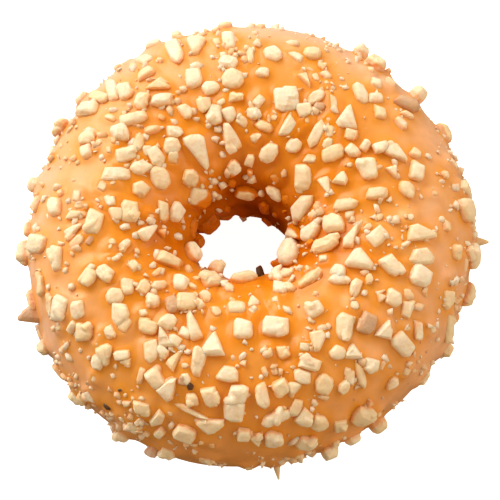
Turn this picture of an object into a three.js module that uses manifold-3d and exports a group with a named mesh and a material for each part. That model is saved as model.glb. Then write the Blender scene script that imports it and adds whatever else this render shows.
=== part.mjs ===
// Glazed ring doughnut: a fried dough ring, a caramel glaze shell over it, and chopped nuts set in
// pockets of the glaze. Millimetres, +Z up, resting on the flat underside of the dough at z = 0.
//
// Places on the ring are given by two angles in degrees:
//   bearing  where on the ring, 0 on +X and 90 on +Y
//   section  where round the cross-section, 0 on the outer side, 90 on top, 180 in the hole
import * as THREE from 'three';
import { ParametricGeometry } from 'three/addons/geometries/ParametricGeometry.js';
import { ConvexGeometry } from 'three/addons/geometries/ConvexGeometry.js';
import { mergeVertices } from 'three/addons/utils/BufferGeometryUtils.js';
import Module from 'manifold-3d';

// ---- driving dimensions ----
const GLAZE_RADIUS = 44.0;
const SECTION_CENTRE_Z = 15.6;
const SECTION_HALF_HEIGHT = 16.4;
const SECTION_SQUARENESS = 2.25;
// the outline is not quite round: [times round the ring, size in mm, bearing of its bulge]
const OUTLINE_BULGES = [[2, 0.68, 61.5], [3, 0.3, 112]];
const HOLE_HALF_X = 9.6;
const HOLE_HALF_Y = 8.0;
const HOLE_CENTRE_X = -1.6;
const HOLE_CENTRE_Y = -0.6;

const GLAZE_THICKNESS = 1.7;
const GAP = 0.3;
const GLAZE_LIP_OUTER = -42;
const GLAZE_LIP_HOLE = 218;
const LIP_WAVE = 5;

// the dough is flat below this height of the ring's section
const BASE_LEVEL = 2.2;

const GLAZE_STEPS_ROUND = 72;
const GLAZE_STEPS_OUTSIDE = 20;
const GLAZE_STEPS_INSIDE = 14;
const GLAZE_STEPS_LIP = 2;
const DOUGH_STEPS_ROUND = 60;
const DOUGH_STEPS_SECTION = 26;

const NUT_SINK = 1.0;

// ---- chopped nuts ----
// Each row lays one nut from one place on the ring to another:
// [bearing, section, bearing, section, width in mm, cut shape, extra height in mm]
const NUTS = [
  // far side of the ring
  [98, 29, 94, 29, 2.6, 'pebble', 0.3],
  [96, 43, 96, 61, 3.0, 'block', 0],
  [105, 44, 107, 60, 3.8, 'wedge', 0],
  [111.5, 36, 112.5, 62, 2.9, 'block', 0],
  [95.5, 75, 97, 89, 4.2, 'pebble', 0],
  [109.5, 69, 111, 82, 3.4, 'block', 0],
  [99, 93, 92.5, 95, 2.5, 'wedge', 0],
  [123, 108, 125, 132, 4.2, 'wedge', 0],
  [84.8, 60, 79.5, 67, 3.7, 'pebble', 0],
  [73, 58, 67.5, 54, 3.2, 'pebble', 0],
  [75.5, 84, 70.5, 99, 4.6, 'block', 0],
  [87, 109, 75.5, 112, 2.3, 'sliver', 0],
  [80, 123, 68.5, 127, 4.4, 'pebble', 0],
  // right-hand far quarter
  [62, 20, 57.5, 20, 2.6, 'pebble', 0.9],
  [43.5, 19, 39, 17, 3.2, 'pebble', 1.3],
  [53.5, 61, 46.3, 69.5, 2.7, 'pebble', 0],
  [43.7, 89, 49.5, 77, 4.2, 'wedge', 0],
  [53.8, 93, 51, 112, 2.4, 'sliver', 0],
  [47, 65, 43.8, 56, 2.2, 'block', 0],
  [42.4, 63, 38.2, 68.5, 2.4, 'block', 0],
  [63.5, 113, 56, 118, 3.4, 'pebble', 0],
  [45.5, 131, 35.5, 123, 5.2, 'block', 0],
  [41.5, 112, 37, 98, 3.2, 'pebble', 0],
  [28.5, 91, 17.5, 94, 3.6, 'block', 0],
  // right side
  [28.5, 76, 20.5, 68, 3.2, 'wedge', 0],
  [19.3, 62, 13.3, 67, 2.9, 'block', 0],
  [14.3, 76, 8, 72, 3.0, 'pebble', 0],
  [11.5, 99, 10.5, 85, 2.5, 'block', 0],
  [8.6, 33, 3, 26, 4.6, 'block', 0.5],
  [2.4, 2, -1.4, 2, 1.8, 'shard', 2.5],
  [9.5, 121, 8, 104, 2.8, 'sliver', 0],
  [15.5, 152, 24, 129, 3.8, 'sliver', 0],
  [-5.5, 75, -5, 56, 3.6, 'wedge', 0],
  [-7, 97, -11.5, 88, 4.0, 'block', 0],
  // around the hole
  [-14, 160, -44, 142, 5.0, 'pebble', 0.9],
  [149.5, 108, 158, 123, 4.0, 'pebble', 0],
  // left side
  [162.5, 79, 159.5, 98, 2.5, 'block', 0],
  [170.5, 104, 183, 106, 3.4, 'block', 0],
  [142.5, 72, 133.5, 82, 2.5, 'block', 0],
  [177, 84, 187, 79, 3.4, 'block', 0],
  [183, 26, 186, 46, 3.8, 'block', 0],
  [196.5, 9, 203, 9, 1.9, 'shard', 3.0],
  [199, 68.5, 203.5, 76, 3.9, 'block', 0],
  [209, 84, 215, 79, 3.6, 'pebble', 0],
  // near left quarter
  [213, 57, 217.5, 49, 3.6, 'block', 0],
  [231, 117, 238, 107, 4.0, 'block', 0],
  [228, 88.5, 230.5, 80, 3.8, 'block', 0],
  [248.5, 92, 239.5, 106, 2.8, 'wedge', 0],
  [242, 65, 240, 56, 4.0, 'block', 0],
  [267.7, 109, 267, 96, 3.9, 'block', 0],
  // near right quarter
  [284.5, 107, 281.5, 95, 4.8, 'block', 0],
  [304.3, 106, 304, 96, 3.6, 'block', 0],
  [295.5, 64, 291.5, 52, 3.6, 'pebble', 0],
  [320.5, 57, 320.5, 39, 3.6, 'block', 0],
  [344.5, 61, 337.5, 61, 4.2, 'block', 0],
  [278.3, -12, 275.9, -12, 1.4, 'shard', 2.6],
  [269, 53, 262.5, 53, 4.2, 'block', 0],
  [338.5, 106, 336.5, 90, 4.4, 'wedge', 0],
];

const wasm = await Module();
wasm.setup();

const rad = THREE.MathUtils.degToRad;

// A repeatable number from -1 to 1 for the i-th thing of the n-th nut.
function jitter(n, i) {
  const s = Math.sin(n * 12.9898 + i * 78.233) * 43758.5453;
  return 2 * (s - Math.floor(s)) - 1;
}

// Distance from the ring's axis to its outline, and to the hole's wall, at a bearing in radians.
function outerRadius(bearing) {
  let radius = GLAZE_RADIUS;
  for (const [times, size, at] of OUTLINE_BULGES) {
    radius += size * Math.cos(times * (bearing - rad(at)));
  }
  return radius;
}

function holeRadius(bearing) {
  const dx = Math.cos(bearing) / HOLE_HALF_X;
  const dy = Math.sin(bearing) / HOLE_HALF_Y;
  const cx = HOLE_CENTRE_X / HOLE_HALF_X;
  const cy = HOLE_CENTRE_Y / HOLE_HALF_Y;
  const a = dx * dx + dy * dy;
  const b = -2 * (dx * cx + dy * cy);
  const c = cx * cx + cy * cy - 1;
  return (-b + Math.sqrt(b * b - 4 * a * c)) / (2 * a);
}

// Point of the ring at a bearing and section angle in radians, lying inset below the glaze's top.
function ringPoint(bearing, section, inset, target) {
  const outer = outerRadius(bearing);
  const hole = holeRadius(bearing);
  const middle = (outer + hole) / 2;
  const halfWidth = (outer - hole) / 2 - inset;
  const halfHeight = SECTION_HALF_HEIGHT - inset;
  const c = Math.cos(section);
  const s = Math.sin(section);
  const n = SECTION_SQUARENESS;
  const r = Math.pow(Math.pow(Math.abs(c), n) + Math.pow(Math.abs(s), n), -1 / n);
  const fromAxis = middle + halfWidth * r * c;
  target.set(
    fromAxis * Math.cos(bearing),
    fromAxis * Math.sin(bearing),
    SECTION_CENTRE_Z + halfHeight * r * s,
  );
  return target;
}

// ---- solids ----
function toManifold(geometry) {
  const bare = geometry.clone();
  bare.deleteAttribute('normal');
  bare.deleteAttribute('uv');
  const merged = mergeVertices(bare, 1e-4);
  return new wasm.Manifold(new wasm.Mesh({
    numProp: 3,
    vertProperties: new Float32Array(merged.attributes.position.array),
    triVerts: new Uint32Array(merged.index.array),
  }));
}

function toGeometry(manifold) {
  const mesh = manifold.getMesh();
  const geometry = new THREE.BufferGeometry();
  geometry.setAttribute('position', new THREE.BufferAttribute(mesh.vertProperties, 3));
  geometry.setIndex(new THREE.BufferAttribute(mesh.triVerts, 1));
  geometry.computeVertexNormals();
  return geometry;
}

// The fried dough ring: the ring's section moved in under the glaze, flat where it rests.
function doughGeometry() {
  const inset = GLAZE_THICKNESS + 1.4 * GAP;
  const surface = (u, v, target) => {
    const bearing = u * 2 * Math.PI;
    const section = v * 2 * Math.PI;
    ringPoint(bearing, section, inset, target);
    target.z = Math.max(BASE_LEVEL, target.z);
  };
  return new ParametricGeometry(surface, DOUGH_STEPS_ROUND, DOUGH_STEPS_SECTION);
}

// The glaze: over the outside from its outer lip to its lip in the hole, then back underneath.
function glazeGeometry() {
  const outside = GLAZE_STEPS_OUTSIDE;
  const inside = GLAZE_STEPS_INSIDE;
  const lip = GLAZE_STEPS_LIP;
  const steps = outside + inside + 2 * lip;
  const surface = (u, v, target) => {
    const bearing = u * 2 * Math.PI;
    const low = rad(GLAZE_LIP_OUTER + LIP_WAVE * Math.sin(5 * bearing + 1)
      + 0.5 * LIP_WAVE * Math.sin(11 * bearing));
    const high = rad(GLAZE_LIP_HOLE + LIP_WAVE * Math.sin(3 * bearing + 2)
      + 0.5 * LIP_WAVE * Math.sin(7 * bearing));
    const step = v * steps;
    if (step <= outside) {
      ringPoint(bearing, low + (high - low) * step / outside, 0, target);
    } else if (step <= outside + lip) {
      const turn = (step - outside) / lip;
      const swell = 0.04 * Math.sin(turn * Math.PI);
      ringPoint(bearing, high + swell, GLAZE_THICKNESS * turn, target);
    } else if (step <= outside + lip + inside) {
      const back = (step - outside - lip) / inside;
      ringPoint(bearing, high + (low - high) * back, GLAZE_THICKNESS, target);
    } else {
      const turn = (step - outside - lip - inside) / lip;
      const swell = 0.04 * Math.sin(turn * Math.PI);
      ringPoint(bearing, low - swell, GLAZE_THICKNESS * (1 - turn), target);
    }
  };
  return new ParametricGeometry(surface, GLAZE_STEPS_ROUND, steps);
}

// Outline of a cut nut seen from above, in a box from -0.5 to 0.5 each way.
const CUT_SHAPES = {
  block: [[-0.5, -0.36], [-0.3, -0.5], [0.36, -0.48], [0.5, -0.2], [0.46, 0.34], [0.2, 0.5],
    [-0.4, 0.46]],
  wedge: [[-0.5, -0.42], [-0.36, -0.5], [0.5, -0.1], [0.46, 0.14], [-0.3, 0.5], [-0.48, 0.36]],
  pebble: [[-0.5, -0.06], [-0.38, -0.36], [-0.05, -0.5], [0.32, -0.4], [0.5, -0.08],
    [0.42, 0.32], [0.1, 0.5], [-0.32, 0.42]],
  sliver: [[-0.5, -0.16], [-0.2, -0.46], [0.34, -0.36], [0.5, 0.06], [0.3, 0.42], [-0.3, 0.5]],
  shard: [[-0.5, -0.5], [0.5, -0.5], [0.34, -0.1], [0.12, 0.42], [-0.02, 0.5], [-0.34, -0.05]],
};
// level up the nut from -0.5 to 0.5, and how wide the outline is there
const NUT_LEVELS = [[-0.5, 0.7], [-0.12, 1.0], [0.28, 0.94], [0.5, 0.66]];

function nutGeometry(number, shape, length, width, height) {
  const corners = [];
  NUT_LEVELS.forEach(([level, spread], row) => {
    CUT_SHAPES[shape].forEach(([x, y], k) => {
      corners.push(new THREE.Vector3(
        length * spread * (x + 0.05 * jitter(number, k)),
        width * spread * (y + 0.05 * jitter(number, k + 20)),
        height * (level + 0.05 * jitter(number, k + 40 + 8 * row) * (row === 3 ? 1 : 0)),
      ));
    });
  });
  return new ConvexGeometry(corners);
}

// Size and place of a nut on the glaze.
function nutPlace([bearingA, sectionA, bearingB, sectionB, width, shape, proud]) {
  const from = ringPoint(rad(bearingA), rad(sectionA), 0, new THREE.Vector3());
  const to = ringPoint(rad(bearingB), rad(sectionB), 0, new THREE.Vector3());
  const bearing = rad((bearingA + bearingB) / 2);
  const section = rad((sectionA + sectionB) / 2);
  const centre = ringPoint(bearing, section, 0, new THREE.Vector3());
  const onward = ringPoint(bearing + 0.01, section, 0, new THREE.Vector3()).sub(centre);
  const upward = ringPoint(bearing, section + 0.01, 0, new THREE.Vector3()).sub(centre);
  const out = new THREE.Vector3().crossVectors(onward, upward).normalize();
  const along = to.sub(from);
  const length = along.length();
  along.addScaledVector(out, -along.dot(out)).normalize();
  const across = new THREE.Vector3().crossVectors(out, along);
  const tall = NUT_SINK + 0.55 + 0.24 * width + proud;
  const size = new THREE.Vector3(length, width, tall);
  const matrix = new THREE.Matrix4().makeBasis(along, across, out);
  if (shape === 'shard') {
    size.set(length, tall, width);
    matrix.makeBasis(along, out, across.clone().negate());
  }
  matrix.setPosition(centre.addScaledVector(out, tall / 2 - NUT_SINK));
  return { size, matrix };
}

// ---- assembly ----
const group = new THREE.Group();

const doughMaterial = new THREE.MeshStandardMaterial({ color: 0xb8793a, roughness: 0.8 });
const glazeMaterial = new THREE.MeshStandardMaterial({ color: 0xe08a35, roughness: 0.3 });
const nutMaterial = new THREE.MeshStandardMaterial({ color: 0xf1ddb4, roughness: 0.55 });
for (const material of [doughMaterial, glazeMaterial, nutMaterial]) {
  material.metalness = 0;
}

const dough = new THREE.Mesh(toGeometry(toManifold(doughGeometry())), doughMaterial);
dough.name = 'dough_ring';
group.add(dough);

let glazeSolid = toManifold(glazeGeometry());
NUTS.forEach((row, index) => {
  const shape = row[5];
  const { size, matrix } = nutPlace(row);
  const nut = new THREE.Mesh(
    nutGeometry(index, shape, size.x, size.y, size.z).applyMatrix4(matrix),
    nutMaterial.clone(),
  );
  nut.name = `chopped_nut_${String(index + 1).padStart(2, '0')}`;
  const roomy = 2.4 * GAP;
  const pocket = nutGeometry(index, shape, size.x + roomy, size.y + roomy, size.z + roomy);
  glazeSolid = glazeSolid.subtract(toManifold(pocket.applyMatrix4(matrix)));
  group.add(nut);
});

const glaze = new THREE.Mesh(toGeometry(glazeSolid), glazeMaterial);
glaze.name = 'caramel_glaze';
group.add(glaze);

// centre the whole doughnut over the origin, on z = 0
const box = new THREE.Box3().setFromObject(group);
const middle = box.getCenter(new THREE.Vector3());
group.position.set(-middle.x, -middle.y, -box.min.z);

export default group;
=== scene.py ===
import math
from collections import namedtuple

import bmesh
import bpy
import numpy as np
from mathutils import Matrix, Vector, noise
from mathutils.bvhtree import BVHTree


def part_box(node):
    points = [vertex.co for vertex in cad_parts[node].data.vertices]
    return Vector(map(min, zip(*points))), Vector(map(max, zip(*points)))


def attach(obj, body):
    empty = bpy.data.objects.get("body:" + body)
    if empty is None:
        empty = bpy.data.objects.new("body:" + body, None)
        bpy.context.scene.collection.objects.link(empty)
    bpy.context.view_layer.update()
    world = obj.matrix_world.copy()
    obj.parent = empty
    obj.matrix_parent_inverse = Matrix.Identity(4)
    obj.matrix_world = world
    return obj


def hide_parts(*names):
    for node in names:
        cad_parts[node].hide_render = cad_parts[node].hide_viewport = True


# The looks of a caramel-glazed ring doughnut strewn with chopped nuts: fried dough, glaze with its
# rims round the nuts, the nuts, and fine crumbs. Metres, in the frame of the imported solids.
# Places on the ring are two angles in degrees: the bearing round the ring (0 on +X, 90 on +Y) and
# the section angle round its cross-section (0 outside, 90 on top, 180 in the hole).

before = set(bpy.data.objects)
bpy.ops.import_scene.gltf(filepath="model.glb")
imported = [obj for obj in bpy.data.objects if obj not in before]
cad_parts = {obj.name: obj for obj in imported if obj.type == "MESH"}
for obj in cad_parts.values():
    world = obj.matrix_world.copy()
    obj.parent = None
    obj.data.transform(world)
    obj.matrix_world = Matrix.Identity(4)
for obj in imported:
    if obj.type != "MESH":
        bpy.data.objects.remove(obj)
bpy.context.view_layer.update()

MM = 0.001

# ---- the ring, as in the solids, in millimetres ----
GLAZE_RADIUS = 44.0
SECTION_CENTRE_Z = 15.6
SECTION_HALF_HEIGHT = 16.4
SECTION_SQUARENESS = 2.25
# bulges of the outline: how many round the ring, how far they stand out, the bearing of one
OUTLINE_BULGES = ((2, 0.68, 61.5), (3, 0.3, 112.0))
HOLE_HALF = (9.6, 8.0)
HOLE_CENTRE = (-1.6, -0.6)
GLAZE_THICKNESS = 1.7
DOUGH_INSET = 2.12
BASE_LEVEL = 2.2
# section angles where the coat ends outside and in the hole, and how far its edge wanders
GLAZE_LIP_OUTER = -42.0
GLAZE_LIP_HOLE = 218.0
LIP_WAVE = 5.0

# ---- how the nuts are cut and set ----
# heights in mm: how deep a nut is sunk, how far out one of no width stands, and the tallest
NUT_SINK = 1.0
LOWEST_NUT = 0.42
TALLEST_NUT = 1.7
# mm of height for each metre of width, and how much of a row's extra height is used
HEIGHT_WITH_WIDTH = 330
EXTRA_HEIGHT_USED = 0.8
# small nuts are laid this much larger than their rows say, and no shorter than a share of their width
NUT_GROWTH = 1.14
SHORTEST_SHARE = 0.7
SOLID_NUT_GROWTH = 1.05
# how far a nut may roll and pitch, in radians, and how far its corners stray
NUT_ROLL = 0.3
NUT_PITCH = 0.16
CORNER_STRAY = 0.1
# cut faces closer in direction than this are one face
FLAT_WITHIN = math.radians(14)
# as shares of a nut's width: rounding of its edges, swell of its faces, depth of its rough cuts
EDGE_ROUND = 0.19
CROWN = 0.035
ROUGH_CUT = 0.1
DEEPEST_CUT = 0.14 * MM
CUT_GRAIN = 0.8 / MM
# a face swells if it has more sides than this, or more than this share of the width squared
PLAIN_SIDES = 4
CROWN_FROM_AREA = 0.08
# points closer together than this are one
SAME_POINT = 0.01 * MM
SAME_ROUNDED_POINT = 0.02 * MM
# nuts between these widths get a second chunk grown on, if their draw is above the last value
KNOB_FROM_WIDTH = 1.7 * MM
KNOB_TO_WIDTH = 4.3 * MM
KNOB_FROM_DRAW = -0.5
# how far out towards a corner the chunk sits, its size beside the nut's, and its twist in radians
KNOB_REACH = 0.6
KNOB_SIZE = 0.62
KNOB_TWIST = 1.3

# number of each draw that jitter makes for a nut; corner draws count on from theirs
CORNER_ALONG, CORNER_ACROSS, CORNER_UP = 0, 20, 40
SLIP_ALONG, SLIP_ACROSS = 60, 61
PICK_KNOB_CORNER, TWIST_KNOB, WANT_KNOB = 70, 71, 72
ROLL_NUT, PITCH_NUT = 90, 91
FLESH_TONE = 7
FIRST_STREWN_SEED = 100

BLOCK, WEDGE, PEBBLE, SLIVER, CHIP = "block", "wedge", "pebble", "sliver", "chip"
BARE, DABBED, COATED, SKINNED, BURNT = "bare", "dabbed", "coated", "skinned", "burnt"

# Each row lays one small nut from one place on the ring to another:
# bearing, section, bearing, section, width in mm, cut shape, finish, extra height in mm
STREWN_NUTS = (
    # far left quarter
    (140.5, 14, 137, 16, 2, PEBBLE, COATED, 0.8),
    (138.5, 33, 137.5, 53, 2.2, BLOCK, DABBED, 0),
    (143.5, 37, 141.5, 52, 3, BLOCK, BARE, 0),
    (150.5, 12, 146.5, 18, 2.6, PEBBLE, DABBED, 0.8),
    (131.8, 40, 136, 57, 2.2, BLOCK, DABBED, 0),
    (130.5, 51, 133.5, 63, 2.8, BLOCK, BARE, 0),
    (142.8, 61, 142, 69, 1.3, SLIVER, BARE, 0),
    (149.8, 63, 153.8, 55, 2.8, PEBBLE, DABBED, 0),
    (150.3, 70, 155, 66, 1.2, SLIVER, COATED, 0),
    (150, 75, 148.5, 79, 1.6, PEBBLE, COATED, 0),
    (127, 30, 124, 30, 1.6, PEBBLE, COATED, 0),
    (143.5, 73, 146.8, 82, 3.2, BLOCK, BARE, 0),
    (126, 56, 121, 56, 2.1, BLOCK, DABBED, 0),
    (121.7, 40, 120.3, 50, 2.5, BLOCK, COATED, 0),
    (118, 50, 117, 54, 1.2, PEBBLE, DABBED, 0),
    (118, 26, 113.5, 27, 2.4, PEBBLE, COATED, 0.5),
    (110.2, 24, 107.8, 24, 2, BLOCK, DABBED, 0.8),
    (100, 36, 98, 38, 1.8, BLOCK, DABBED, 0),
    (100, 50, 99.5, 57, 1.6, BLOCK, COATED, 0),
    (101, 69, 93.5, 72, 2.7, PEBBLE, BARE, 0),
    (89.8, 60, 88.8, 72, 1.5, SLIVER, DABBED, 0),
    (126, 64, 119, 73, 2.2, CHIP, BARE, 0),
    (128, 68, 133, 75, 2.3, BLOCK, BARE, 0),
    (128, 77, 121.5, 83, 2.4, BLOCK, BARE, 0),
    (120, 89, 118.7, 98, 2, BLOCK, BARE, 0),
    (110, 89.5, 111.2, 98.5, 2.5, BLOCK, BARE, 0),
    (105.8, 81, 104.8, 89, 2.8, BLOCK, BARE, 0),
    (105.5, 97, 108.5, 108, 2.7, BLOCK, BARE, 0),
    (101.7, 99, 98.8, 108.5, 2.6, PEBBLE, BARE, 0),
    (101.3, 124, 102.8, 109, 2.9, WEDGE, DABBED, 0),
    (103.5, 94, 102, 98, 2, PEBBLE, COATED, 0),
    (96, 106, 91.5, 111, 1.8, BLOCK, COATED, 0),
    (88.5, 100, 87, 107, 2.3, BLOCK, DABBED, 0),
    (130, 87, 128.5, 90, 1.2, PEBBLE, DABBED, 0),
    (139.5, 89, 133, 94, 1.6, SLIVER, DABBED, 0),
    (132, 98, 127, 104, 2.2, BLOCK, DABBED, 0),
    (141.5, 88, 148, 93, 1.9, BLOCK, DABBED, 0),
    (138.5, 104, 131.8, 110, 3.1, PEBBLE, BARE, 0),
    (154.3, 61, 158, 66, 2.2, BLOCK, DABBED, 0),
    (154, 83.5, 149.8, 93, 2.7, BLOCK, DABBED, 0),
    (156, 86, 155.5, 89, 1.1, SLIVER, COATED, 0),
    (153.5, 76, 152.5, 79, 1.7, PEBBLE, COATED, 0),
    # far right quarter
    (88, 54, 86, 55, 1.2, PEBBLE, COATED, 0),
    (86.6, 75, 83.5, 80, 2.3, PEBBLE, BARE, 0),
    (77, 60, 72.5, 65, 1.9, BLOCK, COATED, 0),
    (66.5, 61, 64, 63, 1.5, CHIP, DABBED, 0),
    (65, 67, 61.5, 69, 1.8, BLOCK, DABBED, 0),
    (67, 70, 64, 73, 1.3, PEBBLE, COATED, 0),
    (71, 73, 66.5, 79, 2, WEDGE, DABBED, 0),
    (70, 68, 67, 68, 0.9, SLIVER, COATED, 0),
    (62, 71, 60.5, 73, 1.1, PEBBLE, COATED, 0),
    (57, 77, 52.8, 84, 1.6, BLOCK, COATED, 0),
    (63.5, 88.5, 60.3, 77.5, 2.1, PEBBLE, DABBED, 0),
    (59.5, 86, 58, 91, 2.1, PEBBLE, SKINNED, 0),
    (66.5, 90.5, 61.5, 97, 2.7, BLOCK, DABBED, 0),
    (87, 94, 83.5, 98, 2.1, BLOCK, COATED, 0),
    (77.5, 103, 75, 106, 1.5, PEBBLE, COATED, 0),
    (79.8, 103, 78.8, 108, 0.9, SLIVER, COATED, 0),
    (66.5, 101, 68.5, 113, 2.5, BLOCK, COATED, 0),
    (61, 97, 59, 101, 1.3, PEBBLE, COATED, 0),
    (63, 104, 61, 108, 1.2, PEBBLE, COATED, 0),
    (53.3, 90, 51.5, 93, 1.4, PEBBLE, COATED, 0),
    (49.5, 93, 47, 101, 1.9, BLOCK, COATED, 0),
    (42.5, 91, 38.5, 87, 2.3, BLOCK, DABBED, 0),
    (56.5, 30, 52, 28, 2.9, BLOCK, DABBED, 0.5),
    (51.5, 24, 50, 24, 1.4, PEBBLE, COATED, 0.3),
    (49, 38, 45.5, 42, 1.7, PEBBLE, COATED, 0),
    (50.5, 53, 47.3, 50, 2.2, BLOCK, COATED, 0),
    (54, 42, 52, 44, 1.4, PEBBLE, COATED, 0),
    (42, 47, 40, 42, 1.3, CHIP, DABBED, 0),
    (41.5, 49, 36.5, 40, 3, BLOCK, SKINNED, 0),
    (37, 38, 35.5, 38, 1.2, PEBBLE, COATED, 0),
    (37.5, 54, 34, 49, 1.7, PEBBLE, BARE, 0),
    (36, 60, 31.5, 58, 1.8, BLOCK, DABBED, 0),
    (32, 17, 27, 14, 2.5, BLOCK, DABBED, 0.6),
    (31, 79, 27.3, 80, 3, BLOCK, BARE, 0),
    (34.2, 88, 31.3, 85, 2.4, BLOCK, BARE, 0),
    (24, 63, 21.5, 59, 1.7, BLOCK, DABBED, 0),
    (20.8, 79.5, 16, 79, 2.2, WEDGE, BARE, 0),
    (22.3, 90, 21.2, 83, 1.1, SLIVER, COATED, 0),
    (16.3, 45, 13.8, 44, 1.6, PEBBLE, BARE, 0),
    (19.5, 35, 17.5, 30, 1.7, BLOCK, COATED, 0),
    (12.7, 32, 10.2, 17, 2, BLOCK, COATED, 0.4),
    (9.5, 56.5, 8, 57, 1.3, BLOCK, COATED, 0),
    (0.8, 75, -0.8, 73, 1.7, PEBBLE, COATED, 0),
    (0.5, 50, -2.5, 49, 1.5, BLOCK, DABBED, 0),
    (3, 22, 0.5, 16, 1.8, BLOCK, COATED, 0),
    (-3.8, 24, -7, 12, 3.2, BLOCK, DABBED, 0.8),
    (-5.5, 42, -9.5, 38, 2.3, PEBBLE, BARE, 0),
    (-14.7, 70.5, -11.5, 56, 2.9, PEBBLE, COATED, 0),
    (-11.5, 81, -13, 80.5, 1, PEBBLE, COATED, 0),
    (-11.5, 77.5, -12, 75.5, 1, PEBBLE, COATED, 0),
    (-4, 100, -6, 98, 1.8, PEBBLE, COATED, 0),
    # far wall and right of the hole
    (91.5, 131, 85.5, 132, 2.3, BLOCK, BARE, 0),
    (87, 115, 84.5, 120, 2.1, PEBBLE, COATED, 0),
    (90.5, 139, 86.5, 139, 1.6, BLOCK, DABBED, 0),
    (101.5, 131, 107, 141, 2.5, PEBBLE, DABBED, 0),
    (112, 146, 105, 147, 1.5, BLOCK, DABBED, 0),
    (105, 155, 78, 154, 2.7, PEBBLE, DABBED, 0.4),
    (67, 137, 57, 140, 1.5, BLOCK, COATED, 0),
    (65, 145, 47, 151, 2.3, PEBBLE, BARE, 0),
    (67, 160, 60, 172, 2.1, PEBBLE, COATED, 0),
    (47, 164, 38, 166, 1.6, PEBBLE, COATED, 0),
    (43, 144, 36, 149, 1.7, BLOCK, COATED, 0),
    (33, 154, 29, 155, 1.3, CHIP, DABBED, 0),
    (31, 118, 18, 121, 2.4, WEDGE, COATED, 0),
    (29.5, 120, 24.5, 114, 0.9, SLIVER, BARE, 0),
    (30, 100, 27.5, 101, 1.3, PEBBLE, COATED, 0),
    (31, 102.5, 29, 103, 1, PEBBLE, DABBED, 0),
    (36.5, 97, 31, 92, 2.7, PEBBLE, BARE, 0),
    (49, 119, 42, 114, 1.7, BLOCK, COATED, 0),
    (46.5, 105, 43, 100, 2.2, PEBBLE, COATED, 0),
    (26.3, 111, 20.5, 108, 3.2, WEDGE, BARE, 0),
    (11, 134, 5, 131, 2.3, BLOCK, COATED, 0),
    (9, 143, 5, 140, 1.4, PEBBLE, COATED, 0),
    (0.5, 126, -6.5, 113, 3.5, PEBBLE, BARE, 0),
    (-11, 144, -2, 129, 3.2, PEBBLE, BARE, 0),
    (-21.5, 131, -15.5, 117, 3.1, PEBBLE, BARE, 0),
    (-16.5, 110, -3.5, 106, 2.3, WEDGE, BARE, 0),
    (5, 159, -12, 145, 3.0, WEDGE, DABBED, 0.2),
    (-17, 137, -19, 133, 1.5, BLOCK, DABBED, 0),
    (128, 168, 116, 172, 2.1, PEBBLE, COATED, 0.3),
    (160, 176, 138, 180, 3.7, PEBBLE, COATED, 1.4),
    (171, 174, 187, 173, 3.2, PEBBLE, COATED, 0.8),
    (139, 138, 136.5, 141, 1.4, PEBBLE, COATED, 0),
    (124.5, 132, 122, 135, 1.3, PEBBLE, COATED, 0),
    # left of the hole
    (141, 111, 137, 115, 2.4, BLOCK, COATED, 0),
    (143.5, 96, 147, 101, 1.7, BLOCK, COATED, 0),
    (153, 139, 141.5, 152, 3.5, BLOCK, COATED, 0),
    (156.5, 96, 151, 106.5, 2.7, PEBBLE, BARE, 0),
    (142.5, 98, 147, 110.5, 2.5, BLOCK, BARE, 0),
    (144.5, 127, 138, 134, 3.3, PEBBLE, BARE, 0),
    (161.5, 137, 177.5, 138, 3.3, PEBBLE, BARE, 0),
    (166, 125, 178.5, 130.5, 2.5, BLOCK, DABBED, 0),
    (166.5, 104, 162, 113, 2.7, PEBBLE, DABBED, 0),
    (190.5, 112, 183, 125, 2.5, WEDGE, BARE, 0),
    (163, 157, 181, 163, 2.5, PEBBLE, COATED, 0),
    (184.5, 127, 189, 131, 1.9, CHIP, DABBED, 0),
    (176, 118, 179, 121, 1.3, PEBBLE, COATED, 0),
    (151, 95, 150, 98, 1.3, PEBBLE, COATED, 0),
    (202, 119, 211, 133, 2.7, BLOCK, DABBED, 0),
    (192, 156, 211, 152, 3.5, PEBBLE, DABBED, 0.6),
    # left side
    (159.5, 28, 157, 30, 1, SLIVER, DABBED, 0),
    (167, 12, 163.5, 14, 2.3, PEBBLE, COATED, 1),
    (165.5, 84, 170, 82.5, 1.5, BLOCK, COATED, 0),
    (165, 88, 166, 91, 1.2, PEBBLE, COATED, 0),
    (170, 67.5, 174.5, 68, 1.7, BLOCK, COATED, 0),
    (170, 54, 172, 55.5, 1.2, BLOCK, DABBED, 0),
    (172.3, 50.5, 178.3, 53.5, 2.9, PEBBLE, DABBED, 0),
    (170.5, 32, 174.5, 27, 2.1, BLOCK, DABBED, 0),
    (171, 90, 175, 92.5, 2.1, BLOCK, COATED, 0),
    (176, 95, 181.5, 97, 2.3, BLOCK, DABBED, 0),
    # this row lays a small dark red-brown piece beside a larger nut
    (187.8, 76, 189.3, 80, 1.7, BLOCK, SKINNED, 0),
    (185.8, 75.5, 185.5, 82, 0.9, SLIVER, COATED, 0),
    (179, 60.5, 178.2, 77, 1.6, SLIVER, BARE, 0),
    (176.3, 66, 176, 74, 1.2, SLIVER, COATED, 0),
    (185.3, 62, 182.5, 74.5, 2.1, WEDGE, DABBED, 0),
    (190, 64.5, 186.5, 74, 1.7, BLOCK, DABBED, 0),
    (187.8, 55, 194.8, 53.5, 2.8, BLOCK, DABBED, 0),
    (176.5, 18, 180, 20, 1.9, BLOCK, DABBED, 0.2),
    (180.5, 8, 186, 8, 2.5, BLOCK, DABBED, 1.1),
    (190, 91, 192.5, 94, 1.7, PEBBLE, DABBED, 0),
    (192.5, 90, 193, 91.5, 1.3, PEBBLE, COATED, 0),
    (191.8, 99, 195, 102, 2.3, BLOCK, BARE, 0),
    (197, 92, 199.5, 94, 1.8, PEBBLE, BARE, 0),
    (196.5, 88, 198.5, 89, 1.1, BLOCK, COATED, 0),
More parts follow.
